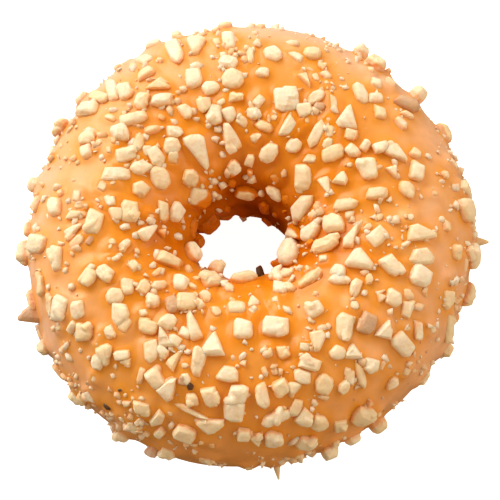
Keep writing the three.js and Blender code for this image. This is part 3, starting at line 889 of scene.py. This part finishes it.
def build_dough():
    """The fried ring under the coat, rippled, with a flat band underneath that it rests on."""
    bearing = np.linspace(0, 2 * math.pi, DOUGH_ROUND, endpoint=False)[:, None]
    section = np.linspace(0, 2 * math.pi, DOUGH_SECTION, endpoint=False)[None, :]
    surface = ring_points(bearing, section, 0.0)
    one_mm_in = ring_points(bearing, section, 1.0) - surface
    inset = DOUGH_INSET + DOUGH_CLEARANCE + waves(bearing, section, DOUGH_RIPPLES)
    points = surface + one_mm_in * inset[..., None]
    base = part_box("dough_ring")[0].z
    crease = CREASE * (1 + np.sin(23 * bearing + 3 * section))
    floor_level = base + crease * (np.sin(section) > LOWEST_LINE)
    points[..., 2] = np.maximum(points[..., 2], floor_level)
    mesh = mesh_from("fried_dough", points.reshape(-1, 3), ring_faces(DOUGH_ROUND, DOUGH_SECTION))
    return new_object("fried_dough", mesh)


# ---- nodes, for the crumbs, the materials and the studio ----
def add_node(tree, kind, values=None, **settings):
    """Adds a node with its settings and the fixed values of its inputs."""
    node = tree.nodes.new(kind)
    for name, value in settings.items():
        setattr(node, name, value)
    for socket, value in (values or {}).items():
        node.inputs[socket].default_value = value
    return node


# ---- crumbs, strewn over the glaze by Geometry Nodes ----
CRUMBS_PER_AREA = 300000.0
CRUMB_SIZE = (0.45 * MM, 2.3 * MM)
CRUMB_SEED = 11
# crumbs gather where a soft noise is high, and thin out between these two levels on the sides
PATCH_SCALE = 90.0
PATCH_RANGE = (0.38, 0.66)
CRUMB_LEVELS = (6 * MM, 16 * MM)
# the power that pulls sizes towards the smallest, and how squat a crumb may be along each axis
FAVOUR_SMALL = 1.6
SQUATTEST = (0.7, 0.6, 0.55)
FULLEST = (1.5, 1.0, 0.9)
FULL_TURN = (6.28, 6.28, 6.28)
# the noise that knocks crumbs out of round, and how far it moves them
KNOCK_SCALE = 1100.0
KNOCK_DEPTH = 1.2 * MM


def add_input(tree, name, kind, value=None):
    """Adds a named input to a node group, and gives its identifier."""
    socket = tree.interface.new_socket(name=name, in_out="INPUT", socket_type=kind)
    if value is not None:
        socket.default_value = value
    return socket.identifier


def crumb_tree(material):
    """Strews angular crumbs over the upward part of a surface."""
    tree = bpy.data.node_groups.new("strewn_crumbs", "GeometryNodeTree")
    add_input(tree, "Glaze", "NodeSocketGeometry")
    ids = {
        "density": add_input(tree, "Crumbs per square metre", "NodeSocketFloat", 1000.0),
        "smallest": add_input(tree, "Smallest crumb", "NodeSocketFloat", 0.0003),
        "largest": add_input(tree, "Largest crumb", "NodeSocketFloat", 0.001),
        "seed": add_input(tree, "Seed", "NodeSocketInt", 1),
    }
    tree.interface.new_socket(name="Crumbs", in_out="OUTPUT", socket_type="NodeSocketGeometry")
    link = tree.links.new
    given = add_node(tree, "NodeGroupInput")
    result = add_node(tree, "NodeGroupOutput")

    # how many crumbs lie where: in patches, and none low on the sides
    place = add_node(tree, "GeometryNodeInputPosition")
    patches = add_node(tree, "ShaderNodeTexNoise", {"Scale": PATCH_SCALE, "Detail": 1.0})
    link(place.outputs[0], patches.inputs["Vector"])
    share = add_node(tree, "ShaderNodeMapRange", dict(zip(("From Min", "From Max"), PATCH_RANGE)))
    link(patches.outputs["Fac"], share.inputs["Value"])
    apart = add_node(tree, "ShaderNodeSeparateXYZ")
    link(place.outputs[0], apart.inputs[0])
    height = add_node(tree, "ShaderNodeMapRange", dict(zip(("From Min", "From Max"), CRUMB_LEVELS)))
    link(apart.outputs["Z"], height.inputs["Value"])
    thin = add_node(tree, "ShaderNodeMath", operation="MULTIPLY")
    link(share.outputs["Result"], thin.inputs[0])
    link(height.outputs["Result"], thin.inputs[1])
    crumbs_here = add_node(tree, "ShaderNodeMath", operation="MULTIPLY")
    link(thin.outputs[0], crumbs_here.inputs[0])
    link(given.outputs["Crumbs per square metre"], crumbs_here.inputs[1])
    strew = add_node(tree, "GeometryNodeDistributePointsOnFaces", distribute_method="RANDOM")
    link(given.outputs["Glaze"], strew.inputs["Mesh"])
    link(crumbs_here.outputs[0], strew.inputs["Density"])
    link(given.outputs["Seed"], strew.inputs["Seed"])

    # each crumb's size, mostly small, with its proportions and its turn
    crumb = add_node(tree, "GeometryNodeMeshIcoSphere", {"Radius": 0.5, "Subdivisions": 1})
    chance = add_node(tree, "FunctionNodeRandomValue", data_type="FLOAT")
    link(given.outputs["Seed"], chance.inputs["Seed"])
    favour_small = add_node(tree, "ShaderNodeMath", {1: FAVOUR_SMALL}, operation="POWER")
    link(chance.outputs[1], favour_small.inputs[0])
    size = add_node(tree, "ShaderNodeMapRange")
    link(favour_small.outputs[0], size.inputs["Value"])
    link(given.outputs["Smallest crumb"], size.inputs["To Min"])
    link(given.outputs["Largest crumb"], size.inputs["To Max"])
    turn = add_node(tree, "FunctionNodeRandomValue", {"Max": FULL_TURN, "Seed": 5},
                    data_type="FLOAT_VECTOR")
    squat = add_node(tree, "FunctionNodeRandomValue",
                     {"Min": SQUATTEST, "Max": FULLEST, "Seed": 9}, data_type="FLOAT_VECTOR")
    scale = add_node(tree, "ShaderNodeVectorMath", operation="SCALE")
    link(squat.outputs[0], scale.inputs[0])
    link(size.outputs["Result"], scale.inputs["Scale"])
    place_crumbs = add_node(tree, "GeometryNodeInstanceOnPoints")
    link(strew.outputs["Points"], place_crumbs.inputs["Points"])
    link(crumb.outputs["Mesh"], place_crumbs.inputs["Instance"])
    link(turn.outputs[0], place_crumbs.inputs["Rotation"])
    link(scale.outputs[0], place_crumbs.inputs["Scale"])
    real = add_node(tree, "GeometryNodeRealizeInstances")
    link(place_crumbs.outputs[0], real.inputs[0])

    # every crumb is knocked out of round its own way
    knock = add_node(tree, "ShaderNodeTexNoise", {"Scale": KNOCK_SCALE, "Detail": 0.0})
    link(place.outputs[0], knock.inputs["Vector"])
    centre = add_node(tree, "ShaderNodeVectorMath", {1: (0.5, 0.5, 0.5)}, operation="SUBTRACT")
    link(knock.outputs["Color"], centre.inputs[0])
    shake = add_node(tree, "ShaderNodeVectorMath", {"Scale": KNOCK_DEPTH}, operation="SCALE")
    link(centre.outputs[0], shake.inputs[0])
    broken = add_node(tree, "GeometryNodeSetPosition")
    link(real.outputs[0], broken.inputs["Geometry"])
    link(shake.outputs[0], broken.inputs["Offset"])
    smooth = add_node(tree, "GeometryNodeSetShadeSmooth")
    link(broken.outputs[0], smooth.inputs["Geometry"])
    finish = add_node(tree, "GeometryNodeSetMaterial", {"Material": material})
    link(smooth.outputs[0], finish.inputs["Geometry"])
    link(finish.outputs[0], result.inputs[0])
    return tree, ids


def build_crumbs(glaze, material):
    """The crumbs as a piece of their own, strewn over a copy of the glaze that is then removed."""
    tree, ids = crumb_tree(material)
    carrier = new_object("crumb_carrier", glaze.data.copy())
    modifier = carrier.modifiers.new("crumbs", "NODES")
    modifier.node_group = tree
    modifier[ids["density"]] = CRUMBS_PER_AREA
    modifier[ids["smallest"]] = CRUMB_SIZE[0]
    modifier[ids["largest"]] = CRUMB_SIZE[1]
    modifier[ids["seed"]] = CRUMB_SEED
    graph = bpy.context.evaluated_depsgraph_get()
    mesh = bpy.data.meshes.new_from_object(carrier.evaluated_get(graph), depsgraph=graph)
    mesh.name = "nut_crumbs"
    carrier.modifiers.remove(modifier)
    bpy.data.objects.remove(carrier)
    return new_object("nut_crumbs", mesh)


# ---- materials ----
class Paint:
    """Builds one Principled material, node by node."""

    def __init__(self, name):
        self.material = bpy.data.materials.new(name)
        self.material.use_nodes = True
        self.tree = self.material.node_tree
        self.shader = self.tree.nodes["Principled BSDF"]
        self.place = self.node("ShaderNodeTexCoord").outputs["Object"]

    def node(self, kind, values=None, **settings):
        return add_node(self.tree, kind, values, **settings)

    def link(self, source, target):
        self.tree.links.new(source, target)

    def fixed(self, **values):
        for name, value in values.items():
            self.shader.inputs[name.replace("_", " ")].default_value = value

    def attribute(self, name):
        return self.node("ShaderNodeAttribute", attribute_name=name).outputs["Fac"]

    def noise(self, scale, detail=3.0, rough=0.5, warp=0.0):
        node = self.node("ShaderNodeTexNoise", {
            "Scale": scale, "Detail": detail, "Roughness": rough, "Distortion": warp})
        self.link(self.place, node.inputs["Vector"])
        return node.outputs["Fac"]

    def cells(self, scale):
        node = self.node("ShaderNodeTexVoronoi", {"Scale": scale})
        self.link(self.place, node.inputs["Vector"])
        return node.outputs["Distance"]

    def axes(self):
        """The three coordinates of a place, as sockets named X, Y and Z."""
        node = self.node("ShaderNodeSeparateXYZ")
        self.link(self.place, node.inputs[0])
        return node.outputs

    def ramp(self, source, *stops):
        """Maps a number through (place, value or colour) stops."""
        node = self.node("ShaderNodeValToRGB")
        band = node.color_ramp
        while len(band.elements) < len(stops):
            band.elements.new(0.5)
        for element, (at, value) in zip(band.elements, stops):
            element.position = at
            element.color = (value, value, value, 1) if isinstance(value, float) else (*value, 1)
        self.link(source, node.inputs["Fac"])
        return node.outputs["Color"]

    def spread(self, source, low, high, to_low=0.0, to_high=1.0):
        """Maps a number from one range to another, held at the ends."""
        node = self.node("ShaderNodeMapRange", {
            "From Min": low, "From Max": high, "To Min": to_low, "To Max": to_high})
        self.link(source, node.inputs["Value"])
        return node.outputs["Result"]

    def math(self, operation, first, second):
        """Joins two numbers; a sum is held between 0 and 1."""
        node = self.node("ShaderNodeMath", operation=operation, use_clamp=operation == "ADD")
        for socket, value in zip(node.inputs, (first, second)):
            if isinstance(value, float):
                socket.default_value = value
            else:
                self.link(value, socket)
        return node.outputs[0]

    def mix(self, share, first, second, blend="MIX"):
        node = self.node("ShaderNodeMix", data_type="RGBA", blend_type=blend)
        for socket, value in ((node.inputs["Factor"], share), (node.inputs[6], first),
                              (node.inputs[7], second)):
            if isinstance(value, (float, tuple)):
                socket.default_value = (*value, 1) if isinstance(value, tuple) else value
            else:
                self.link(value, socket)
        return node.outputs[2]

    def bump(self, *layers):
        """Stacks bumps, each (height source, depth in metres)."""
        normal = None
        for source, depth in layers:
            node = self.node("ShaderNodeBump", {"Strength": 1.0, "Distance": depth})
            self.link(source, node.inputs["Height"])
            if normal is not None:
                self.link(normal, node.inputs["Normal"])
            normal = node.outputs["Normal"]
        self.link(normal, self.shader.inputs["Normal"])

    def drive(self, name, source):
        """Lets a number or a colour made by other nodes set one of the shader's own values."""
        self.link(source, self.shader.inputs[name])


# linear colours of the glaze, from the wall of the hole outwards: darker into the hole as painted
# shade, and paler peach outwards, partly milky glaze and partly painted sheen
HOLE_SHADE_CARAMEL = (0.30, 0.06, 0.002)
DEEP_AMBER = (0.66, 0.16, 0.003)
AMBER = (0.81, 0.27, 0.01)
BUTTER_CARAMEL = (0.82, 0.36, 0.10)
MILKY_PEACH_SHEEN = (0.79, 0.395, 0.195)
NEAR_SIDE_SHADE_AMBER = (0.78, 0.265, 0.012)
# and amber round bare nuts, partly thin glaze and partly painted contact shade, from the hole outwards;
# the first is darker as painted shade in the hole
THIN_AND_SHADED_AMBERS = ((0.45, 0.09, 0.002), (0.75, 0.225, 0.002), (0.76, 0.275, 0.006))

# distances from the ring's axis between which reach_across_ring runs from 0 to 1, and its wander
HOLE_WALL = 7 * MM
OUTER_EDGE = 45 * MM
WANDER = 6 * MM
# painted shade: the flank on the -Y side is amber beyond the first of these, and fades to none at the
# second
SHADED_NEAR_SIDE = (-44 * MM, -20 * MM)
NEAR_SIDE_SHADE_SHARE = 0.75

NUT_CREAM = ((0.80, 0.59, 0.33), (0.85, 0.71, 0.51))
NUT_GRAIN = (0.76, 0.45, 0.21)
CARAMEL_FILM_AND_SHADE = (0.87, 0.35, 0.045)
MILKY_GLAZE = ((0.93, 0.56, 0.30), (0.78, 0.25, 0.08))
BROWN_SKIN = ((0.30, 0.085, 0.018), (0.52, 0.19, 0.05))
CHARRED = (0.085, 0.03, 0.008)
CRUMB_SHADES = ((0.80, 0.42, 0.16), (0.83, 0.54, 0.29), (0.84, 0.67, 0.48))
CRUST_BROWNS = ((0.30, 0.115, 0.028), (0.47, 0.205, 0.055), (0.60, 0.31, 0.105))
WAIST_BAND = (0.78, 0.52, 0.24)
TABLE_WHITES = ((0.9, 0.9, 0.9), (0.93, 0.93, 0.93))


def reach_across_ring(paint):
    """From 0 at the wall of the hole to 1 at the outer edge, wandering a little."""
    centred = paint.node("ShaderNodeMapping", {
        "Location": (-ring_shift[0], -ring_shift[1], 0.0), "Scale": (1.0, 1.0, 0.0)})
    paint.link(paint.place, centred.inputs["Vector"])
    from_axis = paint.node("ShaderNodeVectorMath", operation="LENGTH")
    paint.link(centred.outputs["Vector"], from_axis.inputs[0])
    wander = paint.spread(paint.noise(48.0, 3.0, 0.5, 0.4), 0.3, 0.7, -WANDER, WANDER)
    distance = paint.math("SUBTRACT", from_axis.outputs["Value"], wander)
    return paint.spread(distance, HOLE_WALL, OUTER_EDGE)


def caramel_colour(paint, reach):
    """Glaze colour: dark in the hole as painted shade, amber round it, amber on the near flank as
    painted shade, and milky peach outwards that is partly painted sheen.
    """
    # the dark end of this ramp is painted shade in the hole, and the peach end is partly painted sheen
    recipe = paint.ramp(reach, (0.0, HOLE_SHADE_CARAMEL), (0.1, DEEP_AMBER), (0.38, AMBER),
                        (0.66, BUTTER_CARAMEL), (0.95, MILKY_PEACH_SHEEN))
    # painted shade: the near flank turns amber
    near_side_shade = paint.spread(paint.axes()["Y"], *SHADED_NEAR_SIDE, NEAR_SIDE_SHADE_SHARE, 0.0)
    recipe = paint.mix(near_side_shade, recipe, NEAR_SIDE_SHADE_AMBER)
    fleck = paint.ramp(paint.noise(320.0, 2.0, 0.6), (0.3, 0.9), (0.7, 1.05))
    return paint.mix(1.0, recipe, fleck, "MULTIPLY")


def caramel_glaze_finish():
    """Opaque butter-caramel glaze, amber round a nut as thin glaze and painted contact shade, duller
    deep in the hole.
    """
    paint = Paint("butter_caramel_glaze")
    reach = reach_across_ring(paint)
    patchy = paint.spread(paint.noise(170.0, 2.0), 0.3, 0.7, 0.6, 1.0)
    # the amber round bare nuts is partly thin glaze and partly painted contact shade, darkest in the
    # hole
    thin = paint.math("MULTIPLY", paint.attribute("near_nut"), patchy)
    amber = paint.ramp(reach, *zip((0.05, 0.3, 0.9), THIN_AND_SHADED_AMBERS))
    paint.drive("Base Color", paint.mix(thin, caramel_colour(paint, reach), amber))
    gloss = paint.spread(reach, 0.08, 0.3)
    paint.drive("Specular IOR Level", paint.math("MULTIPLY", gloss, 0.38))
    paint.drive("Coat Weight", paint.math("MULTIPLY", gloss, 0.2))
    paint.drive("Roughness", paint.ramp(paint.noise(150.0, 3.0), (0.35, 0.3), (0.7, 0.4)))
    paint.fixed(IOR=1.45, Subsurface_Weight=0.2, Subsurface_Scale=0.0016, Coat_Roughness=0.22,
                Specular_Tint=(1.0, 0.88, 0.74, 1), Subsurface_Radius=(1.0, 0.42, 0.12))
    paint.bump((paint.noise(230.0, 2.0, 0.5), 0.00006), (paint.noise(900.0, 2.0), 0.00001))
    return paint.material


def nut_flesh(paint, rise):
    """Cream flesh with darker grain, tinted caramel towards its foot as a thin coat and as painted warm
    bounce and contact shade, fading out up the nut.
    """
    flesh = paint.mix(paint.attribute("tone"), *NUT_CREAM)
    grain = paint.ramp(paint.noise(620.0, 4.0, 0.6, 0.6), (0.46, 0.0), (0.7, 0.55))
    patchy = paint.spread(paint.noise(300.0, 2.0), 0.3, 0.7, 0.6, 1.25)
    # painted shade: warm bounce and contact shade at the nut's foot, together with its thin caramel
    # coat
    film_and_shade = paint.math("MULTIPLY", paint.spread(rise, 0.1, 1.35, 1.0, 0.0), patchy)
    return paint.mix(film_and_shade, paint.mix(grain, flesh, NUT_GRAIN), CARAMEL_FILM_AND_SHADE)


def glaze_over_nut(paint, across):
    """Colour of the glaze on a nut: the coat's own, with its painted shade in the hole, milkier on some
    nuts and away from the hole.
    """
    milky = paint.mix(paint.ramp(paint.noise(430.0, 3.0, 0.6, 0.5), (0.5, 0.0), (0.68, 0.8)),
                      *MILKY_GLAZE)
    milkiness = paint.math("MULTIPLY", paint.spread(paint.attribute("tone"), 0.0, 0.7, 0.3, 0.9),
                           paint.spread(across, 0.1, 0.35))
    return paint.mix(milkiness, caramel_colour(paint, paint.math("ADD", across, 0.1)), milky)


def share_glazed(paint, rise, across, edge_noise):
    """Where glaze covers a nut: its foot, higher if it is dabbed, nearly all of it if coated."""
    coat = paint.attribute("coat")
    ragged = paint.spread(edge_noise, 0.25, 0.75, 0.0, 0.85)
    climb = paint.math("ADD", paint.math("MULTIPLY", coat, 2.6), ragged)
    over = paint.math("SUBTRACT", climb, paint.spread(rise, 0.0, 2.6, 0.0, 2.6))
    # deep in the hole a coated nut is covered right over its top
    left_bare = paint.math("MULTIPLY", coat, paint.spread(across, 0.06, 0.17, -2.2, 0.0))
    return paint.spread(paint.math("SUBTRACT", over, left_bare), -0.12, 0.22)


def chopped_nut_finish():
    """Cream nut flesh, with glaze creeping up its foot or over all of it, and brown skin."""
    paint = Paint("chopped_nut_flesh")
    rise = paint.attribute("rise")
    skin = paint.attribute("skin")
    across = reach_across_ring(paint)
    edge_noise = paint.noise(380.0, 3.0, 0.6, 0.4)
    glazed = share_glazed(paint, rise, across, edge_noise)
    covered = paint.mix(glazed, nut_flesh(paint, rise), glaze_over_nut(paint, across))
    brown = paint.ramp(edge_noise, *zip((0.3, 0.7), BROWN_SKIN))
    browned = paint.mix(paint.spread(skin, 0.1, 0.9, 0.0, 0.9), covered, brown)
    paint.drive("Base Color", paint.mix(paint.spread(skin, 0.7, 1.0), browned, CHARRED))
    paint.drive("Specular IOR Level", paint.spread(across, 0.08, 0.3, 0.1, 0.5))
    paint.drive("Roughness", paint.spread(glazed, 0.0, 1.0, 0.52, 0.3))
    paint.fixed(IOR=1.47, Subsurface_Weight=0.45, Subsurface_Scale=0.0014,
                Subsurface_Radius=(1.0, 0.7, 0.35))
    paint.bump((paint.noise(420.0, 4.0, 0.65), 0.0003), (paint.cells(1300.0), 0.00007))
    return paint.material


def crumb_finish():
    """Fine nut crumbs, from cream to toasted."""
    paint = Paint("fine_nut_crumb")
    shade = paint.noise(260.0, 2.0, 0.6)
    paint.drive("Base Color", paint.ramp(shade, *zip((0.3, 0.44, 0.6), CRUMB_SHADES)))
    paint.drive("Roughness", paint.ramp(paint.noise(700.0, 2.0), (0.3, 0.42), (0.7, 0.6)))
    paint.fixed(IOR=1.46, Subsurface_Weight=0.1, Subsurface_Scale=0.0008)
    paint.bump((paint.noise(1400.0, 2.0), 0.00004))
    return paint.material


def fried_dough_finish():
    """Golden-brown fried crust, with a paler band low round its waist."""
    paint = Paint("golden_fried_dough")
    crust = paint.ramp(paint.noise(70.0, 5.0, 0.6, 0.4), *zip((0.28, 0.5, 0.75), CRUST_BROWNS))
    wander = paint.spread(paint.noise(55.0, 3.0), 0.3, 0.7, -0.09, 0.09)
    height = paint.math("ADD", paint.spread(paint.axes()["Z"], 0.0, 30 * MM), wander)
    band = paint.ramp(height, (0.2, 0.0), (0.3, 0.85), (0.42, 0.85), (0.54, 0.0))
    pores = paint.ramp(paint.cells(650.0), (0.05, 0.72), (0.3, 1.0))
    with_band = paint.mix(band, crust, WAIST_BAND)
    paint.drive("Base Color", paint.mix(1.0, with_band, pores, "MULTIPLY"))
    paint.drive("Roughness", paint.ramp(paint.noise(190.0, 3.0), (0.3, 0.45), (0.7, 0.66)))
    paint.fixed(IOR=1.45, Subsurface_Weight=0.1, Subsurface_Scale=0.0014)
    paint.bump((paint.noise(130.0, 5.0, 0.6, 0.5), 0.0005), (paint.cells(700.0), 0.00014))
    return paint.material


def floor_finish():
    """Matte white, partly lit from within so that it stays white under the soft lights."""
    paint = Paint("matte_white_table")
    paint.drive("Base Color", paint.ramp(paint.noise(4.0, 2.0), *zip((0.3, 0.7), TABLE_WHITES)))
    paint.drive("Roughness", paint.ramp(paint.noise(30.0, 3.0), (0.3, 0.7), (0.7, 0.8)))
    paint.fixed(Emission_Color=(1.0, 1.0, 1.0, 1), Emission_Strength=0.95)
    paint.bump((paint.noise(400.0, 3.0), 0.00002))
    return paint.material


# ---- putting the pieces together ----
nuts = build_nuts()
glaze = build_glaze(nuts)
dough = build_dough()
glaze.data.materials.append(caramel_glaze_finish())
dough.data.materials.append(fried_dough_finish())
crumbs = build_crumbs(glaze, crumb_finish())
solid_nuts = [nut for nut in nuts if nut.is_solid]
small_nuts = [nut for nut in nuts if not nut.is_solid]
bold_nuts = join_nuts("chopped_nuts_large", solid_nuts)
strewn_nuts = join_nuts("chopped_nuts_small", [n for n in small_nuts if n.finish != COATED])
glazed_nuts = join_nuts("glazed_nuts_small", [n for n in small_nuts if n.finish == COATED])

nut_material = chopped_nut_finish()
for group in (bold_nuts, strewn_nuts, glazed_nuts):
    group.data.materials.append(nut_material)

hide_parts("caramel_glaze")
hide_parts("dough_ring")
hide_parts(*solid_nut_names)
for piece in (glaze, dough, bold_nuts, strewn_nuts, glazed_nuts, crumbs):
    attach(piece, "root")

# ---- table, light and camera ----
FLOOR_HALF = 1.5
floor_corners = [(x * FLOOR_HALF, y * FLOOR_HALF, 0.0) for x, y in ((-1, -1), (1, -1), (1, 1), (-1, 1))]
floor = new_object("table_top", mesh_from("table_top", floor_corners, [(0, 1, 2, 3)], smooth=False))
floor.data.materials.append(floor_finish())
floor.visible_diffuse = False
floor.visible_glossy = False

# softboxes: where each hangs, how wide it is and its watts; all look at the middle of the ring
LIGHT_TARGET = Vector((0.0, 0.0, 0.015))
SOFTBOXES = {
    "key_softbox": ((-0.5, 0.62, 0.62), 0.9, 9.1),
    "left_softbox": ((-1.0, 0.1, 0.25), 0.7, 2.0),
    "right_softbox": ((0.75, 0.15, 0.62), 0.8, 2.9),
}


def area_light(name, place, size, power):
    """A round softbox."""
    lamp = bpy.data.lights.new(name, "AREA")
    lamp.shape = "DISK"
    lamp.size = size
    lamp.energy = power
    obj = new_object(name, lamp)
    obj.location = place
    towards = LIGHT_TARGET - Vector(place)
    obj.rotation_euler = towards.to_track_quat("-Z", "Y").to_euler()


for name, softbox in SOFTBOXES.items():
    area_light(name, *softbox)

# the studio's walls: bright behind and to the left, half as bright to the right, dimmer in front.
# each is the way it lies, how squarely a ray must face it before it glows, and its brightness
WALL_BASE = 0.06
WALLS = (((-0.6, 0.8, 0.0), 0.0, 1.4), ((1.0, 0.1, 0.0), 0.2, 0.7),
         ((0.15, -0.88, 0.45), 0.0, 0.6))
WARM_SHADE = (1.0, 0.84, 0.62, 1)
NEARLY_WHITE = (1.0, 0.98, 0.96, 1)


def wall_glow(tree, direction, facing, starts, brightness):
    """How bright one wall is along each ray."""
    towards = add_node(tree, "ShaderNodeVectorMath", operation="DOT_PRODUCT")
    towards.inputs[1].default_value = facing
    tree.links.new(direction, towards.inputs[0])
    glow = add_node(tree, "ShaderNodeMapRange", {
        "From Min": starts, "From Max": 1.0, "To Max": brightness}, interpolation_type="SMOOTHSTEP")
    tree.links.new(towards.outputs["Value"], glow.inputs["Value"])
    return glow.outputs["Result"]


def light_studio():
    """A world of soft walls, nearly white where the first one glows and warm elsewhere."""
    world = bpy.data.worlds.new("soft_studio")
    bpy.context.scene.world = world
    world.use_nodes = True
    tree = world.node_tree
    backdrop = tree.nodes["Background"]
    direction = add_node(tree, "ShaderNodeTexCoord").outputs["Generated"]
    glows = [wall_glow(tree, direction, *wall) for wall in WALLS]
    tint = add_node(tree, "ShaderNodeMix", data_type="RGBA")
    tint.inputs[6].default_value = WARM_SHADE
    tint.inputs[7].default_value = NEARLY_WHITE
    tree.links.new(glows[0], tint.inputs["Factor"])
    tree.links.new(tint.outputs[2], backdrop.inputs["Color"])
    total = None
    for glow in glows:
        added = add_node(tree, "ShaderNodeMath", {0: WALL_BASE})
        if total is not None:
            tree.links.new(total, added.inputs[0])
        tree.links.new(glow, added.inputs[1])
        total = added.outputs[0]
    tree.links.new(total, backdrop.inputs["Strength"])


light_studio()

CAMERA_DISTANCE = 0.62
CAMERA_ELEVATION = math.radians(72)
CAMERA_LENS = 226.3
CAMERA_MOVE_RIGHT = 0.28 * MM
CAMERA_MOVE_UP = -1.14 * MM

camera_data = bpy.data.cameras.new("camera")
camera_data.lens = CAMERA_LENS
camera_data.sensor_width = 36.0
camera_data.clip_start, camera_data.clip_end = 0.05, 10.0
camera = new_object("camera", camera_data)
back = Vector((0.0, -math.cos(CAMERA_ELEVATION), math.sin(CAMERA_ELEVATION)))
up = Vector((0.0, math.sin(CAMERA_ELEVATION), math.cos(CAMERA_ELEVATION)))
ring_centre = Vector(ring_shift) + Vector((0.0, 0.0, SECTION_CENTRE_Z * MM))
aim = ring_centre + Vector((CAMERA_MOVE_RIGHT, 0.0, 0.0)) + up * CAMERA_MOVE_UP
camera.location = aim + back * CAMERA_DISTANCE
camera.rotation_euler = back.to_track_quat("Z", "Y").to_euler()
bpy.context.scene.camera = camera
bpy.context.scene.view_settings.view_transform = "Standard"
